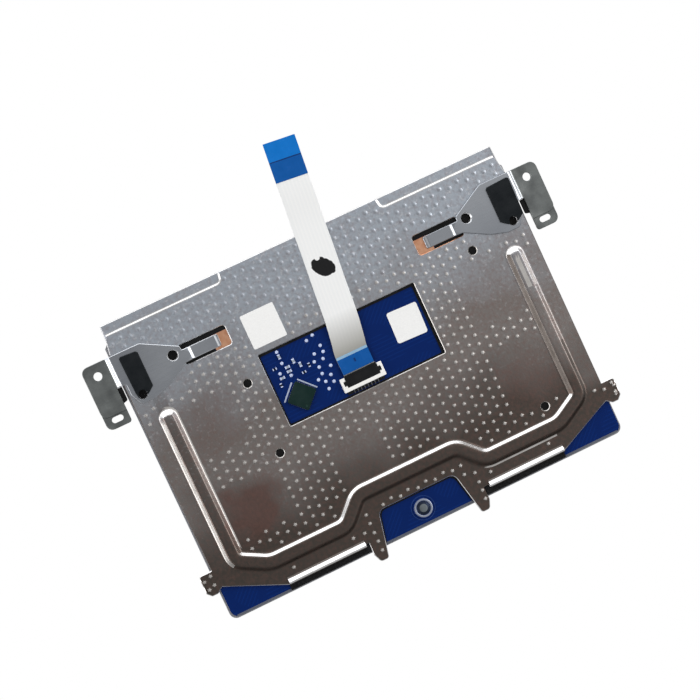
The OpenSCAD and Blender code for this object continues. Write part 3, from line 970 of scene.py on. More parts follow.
@dataclass
class Sheet:
    """Sheet cut from an outline, with chamfered edges and an optional form.

    The form lifts or drops its points, marks are extra points with their own offset, edges follow
    the lines, and plain_high keeps form and lines off the upper face.
    """

    outline: Sequence[Point]
    low: float
    high: float
    holes: Sequence[Sequence[Point]] = ()
    edge: float = 0.08
    high_edge: float | None = None
    form: Callable[[np.ndarray], np.ndarray] | None = None
    marks: Sequence[Place] = ()
    lines: Sequence[Sequence[Point]] = ()
    plain_high: bool = False
    edge_paint: int | None = None

    def _face(self, loops: list[list[Point]], edge: float, marks: Sequence[Place],
              lines: Sequence[Sequence[Point]]) -> tuple[np.ndarray, np.ndarray, list, list]:
        """Triangulates one face.

        Args:
            loops: Outer loop and hole loops, with the material on their left.
            edge: Width of the chamfer.
            marks: Extra points with their own offset.
            lines: Extra lines that edges follow.

        Returns:
            Points, offsets, triangles and the point numbers of each rim.
        """
        points: list[Point] = []
        lifts: list[float] = []
        edges: list[tuple[int, int]] = []
        rims: list[list[int]] = []
        for loop in loops:
            for draw, lift in ((0.0, edge), (edge, 0.0)):
                start, count = len(points), len(loop)
                points += drawn_in(loop, draw)
                lifts += [lift] * count
                edges += [(start + i, start + (i + 1) % count) for i in range(count)]
                if draw == 0:
                    rims.append(list(range(start, start + count)))
        for line in lines:
            start = len(points)
            points += line
            lifts += [0.0] * len(line)
            edges += [(start + i, start + i + 1) for i in range(len(line) - 1)]
        for x, y, offset in marks:
            points.append((x, y))
            lifts.append(offset)
        found = delaunay_2d_cdt([Vector(p) for p in points], edges, [], 0, CUT_TOLERANCE)
        xy = np.array([tuple(v) for v in found[0]])
        lift = np.array([lifts[ids[0]] if ids else 0.0 for ids in found[3]])
        where = {i: k for k, ids in enumerate(found[3]) for i in ids}
        tris = np.array(found[2])
        middle = xy[tris].mean(1)
        keep = within(middle, loops[0])
        for hole in loops[1:]:
            keep &= ~within(middle, hole)
        return xy, lift, tris[keep].tolist(), [[where[i] for i in rim] for rim in rims]

    def shape(self, paint: int = Coat.FIRST) -> Shape:
        """Builds both faces and the walls between them.

        Args:
            paint: Number of the finish.

        Returns:
            The closed shape.
        """
        loops = [oriented(self.outline, True)] + [oriented(h, False) for h in self.holes]
        low = self._face(loops, self.edge, self.marks, self.lines)
        high = self._face(loops, self.edge if self.high_edge is None else self.high_edge, (),
                          () if self.plain_high else self.lines)
        low_z, high_z = self.low + low[1], self.high - high[1]
        if self.form is not None:
            low_z = low_z + self.form(low[0])
            if not self.plain_high:
                high_z = high_z + self.form(high[0])
        made = Shape()
        rim_paint = paint if self.edge_paint is None else self.edge_paint
        rim = {i for under in low[3] for i in under}
        made.add([(*p, z) for p, z in zip(low[0].tolist(), low_z.tolist())],
                 [t[::-1] for t in low[2]], paint)
        made.paints = [rim_paint if rim.intersection(f) else paint for f in made.faces]
        start = len(made.points)
        made.add([(*p, z) for p, z in zip(high[0].tolist(), high_z.tolist())], high[2], paint)
        for under, over in zip(low[3], high[3]):
            count = len(under)
            for i in range(count):
                j = (i + 1) % count
                if under[i] == under[j] or over[i] == over[j]:
                    continue
                made.faces.append((under[i], under[j], start + over[j], start + over[i]))
                made.paints.append(rim_paint)
        return made


def hull_faces(count: int, rings: int) -> list[tuple[int, ...]]:
    """Faces of a closed hull over rings of points.

    Args:
        count: Points in each ring.
        rings: Number of rings.

    Returns:
        The walls between the rings, then the first and the last cap.
    """
    faces = [(i * count + k, i * count + (k + 1) % count, (i + 1) * count + (k + 1) % count,
              (i + 1) * count + k) for i in range(rings - 1) for k in range(count)]
    faces.append(tuple(reversed(range(count))))
    faces.append(tuple((rings - 1) * count + k for k in range(count)))
    return faces


def turned_shape(profile: Sequence[Point], x: float, y: float, count: int = 48) -> Shape:
    """Turns a profile about an upright line.

    Args:
        profile: Radius and height of each point, closed on the line where its ends are at 0.
        x: Place of the line across.
        y: Place of the line in depth.
        count: Points on a full turn.

    Returns:
        The closed shape.
    """
    points = [(*p, z) for r, z in profile for p in circle(x, y, r, count)]
    return Shape().add(points, hull_faces(count, len(profile)))


def bar(section: Sequence[Point], x0: float, x1: float, paint: int = Coat.FIRST) -> Shape:
    """Straight bar across the module.

    Args:
        section: Its section as depth and height.
        x0: Where it starts.
        x1: Where it ends.
        paint: Number of the finish.

    Returns:
        The closed shape.
    """
    points = [(x, y, z) for x in (x0, x1) for y, z in oriented(section, True)]
    return Shape().add(points, hull_faces(len(section), 2), paint)


def block(x0: float, y0: float, z0: float, x1: float, y1: float, z1: float,
          edge: float = 0.05) -> Shape:
    """Small block with chamfered edges."""
    return Sheet(rectangle(x0, y0, x1, y1), z0, z1, edge=edge).shape()


# ---------------------------------------------------------------- sub-assemblies


def dress(node: str, finish: Finish) -> None:
    """Gives a CAD node a finish.

    Args:
        node: Name of the node.
        finish: Its finish.
    """
    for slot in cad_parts[node].material_slots:
        slot.material = finish.material()
    LOG.info("%s: dressed with %s", node, finish.name)


@dataclass
class TouchFace:
    """Touch plate with the film on it, and the glue film below."""

    half_width: float = 58.5
    depth: float = 81.0
    low: float = 2.8
    high: float = 3.8
    corner: float = 2.0
    cut: float = 2.0
    cut_corner: float = 0.3

    def build(self) -> None:
        """Makes the plate and dresses the glue film."""
        corners = both_halves([(self.half_width, 0, self.corner),
                               (self.half_width, self.depth - self.cut, self.cut_corner),
                               (self.half_width - self.cut, self.depth, self.cut_corner)])
        plate = Sheet(rounded(corners, 8), self.low, self.high, edge=0.1, high_edge=0.22,
                      edge_paint=Coat.SECOND).shape()
        below = self.low + 0.15
        for i, f in enumerate(plate.faces):
            if max(plate.points[k][2] for k in f) < below:
                plate.paints[i] = Coat.SECOND
        plate.piece("silver_touch_plate", [Palette.touch, Palette.touch_edge], Body.PAD,
                    "touch_surface", ["touch_plate"])
        dress("touch_adhesive", Palette.glue)


@dataclass
class BasePlate:
    """Stamped base sheet with ribs, dimples, rolled front lips and stepped rear lips."""

    low: float = 1.2
    high: float = 1.7
    half_width: float = 58.1
    rib_half: float = 2.4
    crest_half: float = 1.3
    rib_depth: float = 1.2
    lip_step: float = 0.3
    roll_y: float = 3.15
    roll_low: float = 0.15
    rolls: dict[Side, Point] = field(default_factory=lambda: {
        Side.RIGHT: (18.2, 40.8), Side.LEFT: (18.8, 41.2)})
    dimple_r: float = 0.6
    dimple_h: float = 0.15
    dimple_dx: float = 2.6
    dimple_dy: float = 2.57
    dimple_from_x: float = 30.3
    dimple_from_y: Point = (15.15, 15.95)
    dimple_rib_gap: float = 3.25
    # share of a dot's radius that gets the painted highlight
    dimple_highlight_share: float = 0.85
    tooling: tuple[Point, ...] = ((28.5, 55.1), (28.5, 34.8), (-41.2, 61.6), (-41.5, 15.4))
    tooling_r: float = 1.15
    under_arms: tuple[Corner, ...] = ((43.2, 70.2, 1.3), (54.6, 64.292, 1.15))
    rib_path: list[Point] = field(default_factory=lambda: [
        (51.2, 55.9), (51.2, 14.2), (43.0, 9.7), (20.8, 9.7), (14.6, 15.9)])
    lip_path: list[Point] = field(default_factory=lambda: softened(
        [(56.9, 82.2), (23.6, 82.2), (23.2, 84.65)], 1.3))
    rings: tuple[float, ...] = (0.6, 1.15, 1.35, 1.55, 1.85, 2.2, 2.4, 2.6, 2.9)
    ring_step: float = 1.4
    rib_bend: float = 1.9
    smooth: list[tuple[float, float, float, float]] = field(default_factory=lambda: [
        (33, 41, 47, 57), (32, 18, 47, 32), (2, 20, 16, 31), (-49, 41, -33, 59),
        (-49, 17, -33, 34.6), (53, 13.5, 60, 56), (-60, 13.5, -53, 56), (42, 5, 57.5, 13),
        (-57.5, 5, -42, 13)])
    front_dots: list[Point] = field(default_factory=lambda: [
        (14.8, 10), (14.8, 7.5), (14.8, 4.8), (14.8, 2.3), (14.8, -0.3), (-13.7, 8.3), (-16.5, 7.5),
        (-16.5, 4.8), (-16.4, 2.4), (-16.2, 0), (61.0, 12.6), (60.6, 10.2), (-61.0, 12.6),
        (-60.6, 10.2), (38, 5.9), (20.5, 5.9), (-38, 5.9), (-20.5, 5.9), (17.2, 5.8), (9.5, 10.55),
        (6.8, 11.25), (4.3, 10.55), (1.8, 11.3), (-0.9, 10.55), (-3.5, 11.25), (-6.0, 10.55),
        (-8.7, 11.25), (-11.2, 10.6), (-13.8, 10.9)])

    def outline(self) -> list[Point]:
        """Outer edge of the sheet.

        Returns:
            Its points, from the front notch round the module.
        """
        return rounded(both_halves([
            (11.2, 9.6, 2), (13.2, 0.2, 0.5), (13.9, -3, 0.9), (16.3, -3, 1.1), (17.3, -0.6, 0.6),
            (17.2, 2.9, 0.2), (18.7, 2.9, 0.2), (18.7, 2.2, 0), (41, 2.2, 0), (57.3, 9.5, 0.2),
            (58.9, 8.3, 0.4), (60.6, 8.3, 0.4), (61.8, 9.5, 0.4), (61.8, 14.5, 0.8),
            (self.half_width, 14.5, 0.2), (self.half_width, 77.2, 0.8), (57.5, 80.6, 0.8),
            (57.35, 85, 0.4)]))

    def holes(self) -> list[list[Point]]:
        """Window, tongue slots, tooling holes and the holes under those of the arms.

        Returns:
            A closed loop for each opening.
        """
        slots = [rounded([(s * 27.6, 66.35, 0.8), (s * 40.9, 66.35, 0.8), (s * 40.9, 71.85, 0.8),
                          (s * 27.6, 71.85, 0.8)]) for s in (1, -1)]
        tools = [circle(x, y, self.tooling_r, 24) for x, y in self.tooling]
        under = [circle(s * x, y, r, 24) for s in (1, -1) for x, y, r in self.under_arms]
        return [rectangle(-23, 40, 23, 60.6, 0.4), *slots, *tools, *under]

    def whole_path(self) -> list[Point]:
        """Middle line of the rib from its left rear end to its right one."""
        path = [(-x, y) for x, y in self.rib_path] + list(reversed(self.rib_path))
        return softened(path, self.rib_bend)

    def contour(self, distance: float) -> list[Point]:
        """Line at one distance round the rib's middle line.

        Args:
            distance: The distance.

        Returns:
            The line; its last point is its first one.
        """
        path = self.whole_path()

        def cap(centre: Point, start: float) -> list[Point]:
            """Half circle round one end, without its two end points.

            Args:
                centre: The end of the middle line.
                start: Direction of the first end point in degrees.

            Returns:
                The points.
            """
            return [(centre[0] + distance * math.cos(math.radians(a)),
                     centre[1] + distance * math.sin(math.radians(a)))
                    for a in np.linspace(start, start + 180, 10)[1:-1]]

        there = spaced(beside(path, -distance), self.ring_step)
        back = spaced(list(reversed(beside(path, distance))), self.ring_step)
        loop = there + cap(path[-1], 0.0) + back + cap(path[0], 0.0)
        return loop + [loop[0]]

    def form(self, xy: np.ndarray) -> np.ndarray:
        """Offset of the sheet's underside: ribs down, rear lips up.

        Args:
            xy: Points, one in each row.

        Returns:
            The offset of each point.
        """
        rib_end = self.rib_path[0][1]
        rib = 1 - eased(distance_to(self.whole_path(), xy), self.crest_half - 0.2,
                        self.rib_half + 0.25)
        rib *= 1 - eased(xy[:, 1], rib_end + 0.1, rib_end + 2.9)
        folded = np.stack([np.abs(xy[:, 0]), xy[:, 1]], 1)
        bend = [(60, self.lip_path[0][1]), *self.lip_path, (23.2, 88)]
        inside = within(folded, [*bend, (60, 88)])
        reach = distance_to(bend, folded)
        lip = eased(np.where(inside, reach, -reach), -0.35, 0.35)
        return self.lip_step * lip - self.rib_depth * rib

    def dimples(self) -> list[Point]:
        """Places of the raised dots on the underside.

        Returns:
            The rows of the pattern, cut round openings and smooth flats, then the front dots.
        """
        xy = np.array([(self.dimple_from_x - self.dimple_dx * i,
                        self.dimple_from_y[i % 2] + self.dimple_dy * k)
                       for i in range(-12, 36) for k in range(-6, 29)])
        x, y = xy.T
        ax = np.abs(x)
        keep = within(xy, drawn_in(oriented(self.outline(), True), 1.0))
        for hole in self.holes():
            keep &= ~within(xy, drawn_in(oriented(hole, False), 1.0))
        keep &= distance_to(self.whole_path(), xy) > self.dimple_rib_gap
        keep &= ~((ax > 41) & (y > 61) & (y < 77.5)) & ~((ax > 23) & (y > 81)) & (y < 83.6)
        keep &= ~((y < 7) & (ax > 17)) & ~((y < 13) & (ax < 17.6))
        keep &= ~((x > 12.9) & (x < 23.7) & (y > 61.7) & (y < 72.5))
        for x0, y0, x1, y1 in self.smooth:
            keep &= ~((x > x0) & (x < x1) & (y > y0) & (y < y1))
        return [tuple(p) for p in xy[keep].tolist()] + self.front_dots

    def marks(self) -> list[Place]:
        """Extra points that raise each dimple.

        Returns:
            Points as across, depth and offset.
        """
        found: list[Place] = []
        for x, y in self.dimples():
            found.append((x, y, -self.dimple_h))
            for radius, share in ((0.5, 0.8), (1.0, 0.08), (1.22, 0.0)):
                found += [(px, py, -self.dimple_h * share)
                          for px, py in circle(x, y, self.dimple_r * radius, 12)]
        return found

    def edge_rules(self, x: np.ndarray, y: np.ndarray) -> list[tuple[np.ndarray, PlatePaint]]:
        """Painted light on the cut edges: copper reflection in one slot, highlights round the
        window and holes, shade on the sides.

        Args:
            x: Place of each face across.
            y: Place of each face in depth.

        Returns:
            Masks with their finishes; the first that holds counts.
        """
        bored = np.min([np.hypot(x - hx, y - hy) for hx, hy in self.tooling], axis=0) < 1.5
        window = (np.abs(x) < 23.25) & (y > 39.75) & (y < 60.85)
        # painted copper reflection on one slot's front edge, painted highlights round the window
        # and tooling holes, painted shade on the sides
        return [((y > 66.2) & (y < 66.6) & (x > -41) & (x < -27.5), PlatePaint.COPPER),
                (window & (x > 22.9), PlatePaint.BRIGHT_HIGHLIGHT),
                (window | bored, PlatePaint.SOFT_HIGHLIGHT),
                ((np.abs(x) > 57.8) & (y > 14.6) & (y < 62), PlatePaint.WORN)]

    def rib_rules(self, xy: np.ndarray, slopes: np.ndarray) -> list[tuple[np.ndarray, PlatePaint]]:
        """Painted highlights and painted shade on the ribs and the lip steps.

        Args:
            xy: Place of each face, one in each row.
            slopes: How far each face looks to the rear.

        Returns:
            Masks with their finishes; the first that holds counts.
        """
        x, y = xy.T
        ring = {d: within(xy, self.contour(d)) for d in (0.6, 1.35, 1.55, 2.2, 2.4, 2.9)}
        flank, shoulder = ring[2.4] & ~ring[1.35], ring[2.2] & ~ring[1.55]
        end = y > self.rib_path[0][1] + 0.5
        lit = (y > 8) & (y < 25) & (slopes > 0.3)
        outer = (np.abs(x) > self.rib_path[0][0]) & (y > 13) & (y < 55)
        inner = (np.abs(x) < self.rib_path[0][0]) & (np.abs(x) > 46) & (y > 17)
        foot = ring[2.9] & ~ring[2.4]
        # pale: painted highlight streaks on flanks, feet and crests
        pale = ring[2.4] & ~ring[1.55] & outer & (x > 0)
        pale |= shoulder & outer & (x < 0) & (y > 46)
        pale |= foot & inner & (x > 0)
        pale |= foot & (slopes < 0) & (y < 8) & (x < -20) & (x > -41)
        pale |= ring[0.6] & (x < -46) & (y > 46) & (y < 55)
        # faint: painted shade on the flanks of the left side rib
        faint = flank & (x < 0) & (inner | (outer & (y <= 30)))
        step = distance_to(self.lip_path, np.stack([np.abs(x), y], 1)) < 0.4
        # painted highlights on the rib ends, the lit flanks and the lip steps, painted shade round
        # the lit flanks
        return [(end & ring[2.4] & ring[2.2], PlatePaint.BRIGHT_HIGHLIGHT),
                (end & ring[2.4], PlatePaint.SOFT_HIGHLIGHT),
                (lit & flank & shoulder, PlatePaint.BRIGHT_HIGHLIGHT),
                (lit & flank | faint, PlatePaint.WORN),
                (pale, PlatePaint.SOFT_HIGHLIGHT),
                (step, PlatePaint.BRIGHT_HIGHLIGHT)]

    def on_dot(self, place: np.ndarray, dots: np.ndarray) -> bool:
        """Tells whether a place lies in the painted highlight on the first dot beside it.

        Args:
            place: The place across and in depth.
            dots: Middles of all dots, one in each row.

        Returns:
            Whether it does.
        """
        near = dots[np.abs(dots - place).max(1) < self.dimple_r]
        soft_highlight = self.dimple_highlight_share * self.dimple_r
        return len(near) > 0 and bool(np.linalg.norm(near[0] - place) < soft_highlight)

    def paint(self, shape: Shape) -> None:
        """Paints highlights and shade where the sheet is cut, pressed or dotted, and the tops of
        its side tabs near black.

        Args:
            shape: The sheet, with the bright highlight painted on its edges.
        """
        points = np.array(shape.points)
        corners = points[[f[:3] for f in shape.faces]]
        normals = np.cross(corners[:, 1] - corners[:, 0], corners[:, 2] - corners[:, 0])
        slopes = normals[:, 1] / np.maximum(np.linalg.norm(normals, axis=1), NEVER_ZERO)
        middles = np.array([points[list(f)].mean(0) for f in shape.faces])
        xy = middles[:, :2]
        x, y, z = middles.T
        flat = np.array([len(f) == 3 for f in shape.faces])
        edge = np.array(shape.paints) == PlatePaint.BRIGHT_HIGHLIGHT
        under = flat & ~edge & (z <= self.high - 0.1)
        dots = np.array(self.dimples())
        # painted highlight on the tops of the raised dots
        dotted = under & (z < self.low - 0.06) & (y < 66)
        dotted[dotted] = [self.on_dot(place, dots) for place in xy[dotted]]
        rules = [(flat & (z > self.high - 0.06) & (np.abs(x) > 58.4), PlatePaint.BLACKENED)]
        rules += [(edge & where, paint) for where, paint in self.edge_rules(x, y)]
        rules += [(under & where, paint) for where, paint in self.rib_rules(xy, slopes)]
        rules.append((dotted, PlatePaint.SOFT_HIGHLIGHT))
        shape.paints = np.select([where for where, _ in rules], [int(paint) for _, paint in rules],
                                 np.array(shape.paints)).tolist()

    def rolled_lip(self, side: Side) -> Shape:
        """Rolled front lip of one side, with a round nose and a slope behind it.

        Args:
            side: The side.

        Returns:
            The lip as a closed shape.
        """
        nose = [(self.roll_y - 0.5 + 0.55 * math.cos(a), self.roll_low + 0.55 + 0.55 * math.sin(a))
                for a in np.linspace(math.radians(-185), math.radians(-62), 10)]
        slope = [(self.roll_y + u * 1.05,
                  self.roll_low + 0.07 + (u + 0.24) * 0.82 + 0.1 * u * (1 - u))
                 for u in np.linspace(-0.1, 1.0, 8)]
        root = [(self.roll_y + 1.05, self.low + 0.1), (self.roll_y - 1.05, self.low + 0.1)]
        # painted highlight over the lip, painted shade on the front of its nose and the rear of its
        # slope
        lip = bar(nose + slope + root, *self.rolls[side], PlatePaint.BRIGHT_HIGHLIGHT)
        for i, f in enumerate(lip.faces):
            place = np.mean([lip.points[k][1] for k in f]) - self.roll_y
            if place < -0.72 or place > 0.62:
                lip.paints[i] = PlatePaint.WORN
        return lip.on(side)

    def build(self) -> None:
        """Makes the sheet with its rolled lips."""
        lines = [self.contour(d) for d in self.rings]
        lines.append(spaced(self.whole_path(), self.ring_step))
        for distance in (-0.4, -0.2, 0.0, 0.2, 0.4):
            line = spaced(beside(self.lip_path, distance), 2.0)
            lines += [line, [(-x, y) for x, y in line]]
        # every cut edge first gets the painted highlight
        shape = Sheet(self.outline(), self.low, self.high, self.holes(), edge=0.18, high_edge=0.05,
                      form=self.form, marks=self.marks(), lines=lines, plain_high=True,
                      edge_paint=PlatePaint.BRIGHT_HIGHLIGHT).shape(PlatePaint.PLATED)
        self.paint(shape)
        for side in Side:
            shape.join(self.rolled_lip(side))
        shape.piece("stamped_base_plate",
                    [Palette.plate, Palette.bright_highlight, Palette.blackened, Palette.copper,
                     Palette.soft_highlight, Palette.worn], Body.PAD, "stamped_steel", ["base_bracket"])


@dataclass
class HingeArm:
    """Spring arm with its tongue, ear, shim and rubber pad on one side."""

    side: Side
    low: float = 0.6
    high: float = 1.1
    ear_rise: float = 1.0
    hole_x: float = 63.2
    hole_y: float = 73.392
    hole_r: float = 1.15
    slot_y: float = 61.192
    slot_half: Point = (1.6, 0.8)
    arm_hole: Point = (43.2, 70.2)
    pad_hole: Point = (54.6, 64.292)
    # bends, as ranges across, that get the painted highlight
    bright: tuple[Point, ...] = ((30.79, 31.31), (38.09, 38.61), (58.49, 58.91), (59.29, 59.71))

    def form(self, xy: np.ndarray) -> np.ndarray:
        """Offset of the strip: tongue steps and the slope to the ear.

        Args:
            xy: Points, one in each row.

        Returns:
            The offset of each point.
        """
        x = xy[:, 0]
        tongue = 0.55 * (1 - eased(x, 38.1, 39.0)) + 0.15 * (1 - eased(x, 30.8, 31.5))
        return tongue + self.ear_rise * eased(x, 58.5, 60.0)

    def arm(self) -> Shape:
        """Strip with its tongue and ear, with a painted highlight on its bends and cut edges.

        Returns:
            The strip, built for the right side.
        """
        outline = rounded([
            (30.3, 67.1, 0.5), (30.8, 67.1, 0), (31.5, 67.1, 0), (38.1, 67.1, 0), (39, 67.1, 0),
            (40.8, 67.0, 0.8), (47.5, 63.39, 3), (52.1, 61.99, 2), (55.9, 61.99, 1.5),
            (57.4, 65.29, 1), (57.4, 68.49, 0.5), (58.5, 68.49, 0), (60.0, 68.49, 0.1),
            (60.0, 62.39, 0.3), (66.8, 62.39, 1.8), (66.8, 76.79, 1.8), (60, 76.79, 0),
            (58.5, 76.79, 0), (50, 76.79, 2), (40.6, 71.65, 0.8), (40.6, 70.5, 0.3), (39, 70.5, 0),
            (38.1, 70.5, 0), (31.5, 70.5, 0), (30.8, 70.5, 0), (30.3, 70.5, 0.5)])
        lines = [spaced([(x, 67.35), (x, 70.25)], 0.7)
                 for x in (30.8, 31.1, 31.3, 31.5, 38.1, 38.4, 38.6, 38.8, 39.0)]
        lines += [spaced([(x, 68.75), (x, 76.55)], 0.9) for x in (58.5, 58.9, 59.3, 59.7, 60.0)]
        holes = [circle(*self.arm_hole, 1.45), circle(*self.pad_hole, 1.3),
                 circle(self.hole_x, self.hole_y, self.hole_r)]
        made = Sheet(outline, self.low, self.high, holes, edge=0.12, high_edge=0.08,
                     form=self.form, lines=lines,
                     edge_paint=ArmPaint.EDGE).shape(ArmPaint.SPRING)
        for i, f in enumerate(made.faces):
            x = [made.points[k][0] for k in f]
            middle = np.mean([made.points[k][:2] for k in f], axis=0)
            far = min(math.dist(middle, hole) for hole in (self.arm_hole, self.pad_hole)) > 2
            # the left arm keeps the painted highlight only round its holes and on its bends
            if self.side is Side.LEFT and far:
                made.paints[i] = ArmPaint.SPRING
            if min(x) > 59.6:
                made.paints[i] = ArmPaint.EAR
            elif any(min(x) >= a and max(x) <= b for a, b in self.bright):
                made.paints[i] = ArmPaint.EDGE
        return made

    def shim(self) -> Shape:
        """Second layer of the ear, near black on top and on its inner step.

        Returns:
            The layer, built for the right side.
        """
        outline = rounded([(60, 58.99, 0.8), (66.7, 58.99, 1.8), (66.7, 76.79, 1.8),
                           (60, 76.79, 0.2), (60, 68.4, 0.2), (58.7, 68.4, 0.2),
                           (58.7, 64.5, 0.6), (60, 64.2, 0.2)])
        dx, dy = self.slot_half
        slot = rounded([(self.hole_x + sx * dx, self.slot_y + sy * dy, 0.79)
                        for sx, sy in ((-1, -1), (1, -1), (1, 1), (-1, 1))])
        made = Sheet(outline, 2.1, 2.6, [circle(self.hole_x, self.hole_y, self.hole_r), slot],
                     edge=0.1, high_edge=0.12, lines=[[(60.05, 64.4), (60.05, 68.2)]]).shape()
        for i, f in enumerate(made.faces):
            across, _, up = np.mean([made.points[k] for k in f], axis=0)
            # near black on the top face; on the inner step, which shows between plate and ear, the
            # black is painted shade
            if up > 2.5 or across < 60.0:
                made.paints[i] = Coat.SECOND
        return made

    def pad(self) -> Shape:
        """Rubber pad, cut round the hole in the arm and wider on the left side.

        Returns:
            The pad, built for the right side.
        """
        x, y = self.pad_hole
        bite = [(x + 1.15 * math.cos(a), y + 1.15 * math.sin(a))
                for a in np.linspace(math.radians(200), math.radians(-20), 14)]
        out = 0.0 if self.side is Side.RIGHT else 1.7
        outline = [(51.2, 65.3), (52.6, 64.2), (53.3, 63.75), *bite, (55.9, 63.75),
                   (56.2 + out, 65.1), (56.4 + out, 75.2), (55.9 + out, 75.6), (51.7, 75.3),
                   (51.2, 74.8)]
        return Sheet(outline, 0.05, self.low, edge=0.16, high_edge=0.02).shape()

    def build(self) -> None:
        """Makes the arm, the ear plate, the rubber pad and the copper pad."""
        word = self.side.name.lower()
        self.arm().on(self.side).piece(
            f"{word}_spring_arm", [Palette.spring, Palette.ear, Palette.spring_edge_highlight],
            Body.MOUNT, "spring_steel", [f"{word}_hinge_bracket"])
        self.shim().on(self.side).piece(
            f"{word}_ear_plate", [Palette.ear, Palette.blackened],
            Body.MOUNT, "dark_steel", [f"{word}_ear_shim"])
        self.pad().on(self.side).piece(
            f"{word}_rubber_pad", [Palette.rubber],
            Body.MOUNT, "black_rubber", [f"{word}_bumper_pad"])
        copper = Sheet(rectangle(27.4, 66.15, 32.2, 70.6, 0.4), 1.84, 1.89, edge=0.02)
        copper.shape().on(self.side).piece(
            f"{word}_copper_pad", [Palette.copper],
            Body.PAD, "copper", [f"{word}_ground_pad"])


@dataclass
class FoamStrips:
    """Foam behind the touch plate and in front of the rolled lips, where the black also stands in
    for the lips' shadow.
    """

    rear_x: float = 57.0
    rear_from: float = 81.3
    rear_to: float = 84.4

    def build(self) -> None:
        """Makes the three strips."""
        rear = Sheet(rectangle(-self.rear_x, self.rear_from, self.rear_x, self.rear_to, 0.2),
                     1.72, 2.9, edge=0.05, high_edge=0.22)
        strip = rear.shape().piece("rear_foam", [Palette.foam], Body.PAD, "black_foam",
                                   ["rear_foam_strip"])
        # the front strips' black also stands in for the shadow in front of the rolled lips
        loop = rounded([(17.3, 0.5, 0.2), (41.0, 0.5, 0.2), (41.0, 2.1, 0.2), (18.7, 2.1, 0),
                        (18.7, 2.8, 0.2), (17.3, 2.8, 0.2)])
        front = Sheet(loop, 1.3, 1.9, edge=0.14, high_edge=0.02).shape()
        for side in Side:
            word = side.name.lower()
            strip = front.on(side).piece(f"{word}_front_foam_and_shade_strip", [Palette.foam], Body.PAD,
                                         "black_foam", [f"front_{word}_foam"])


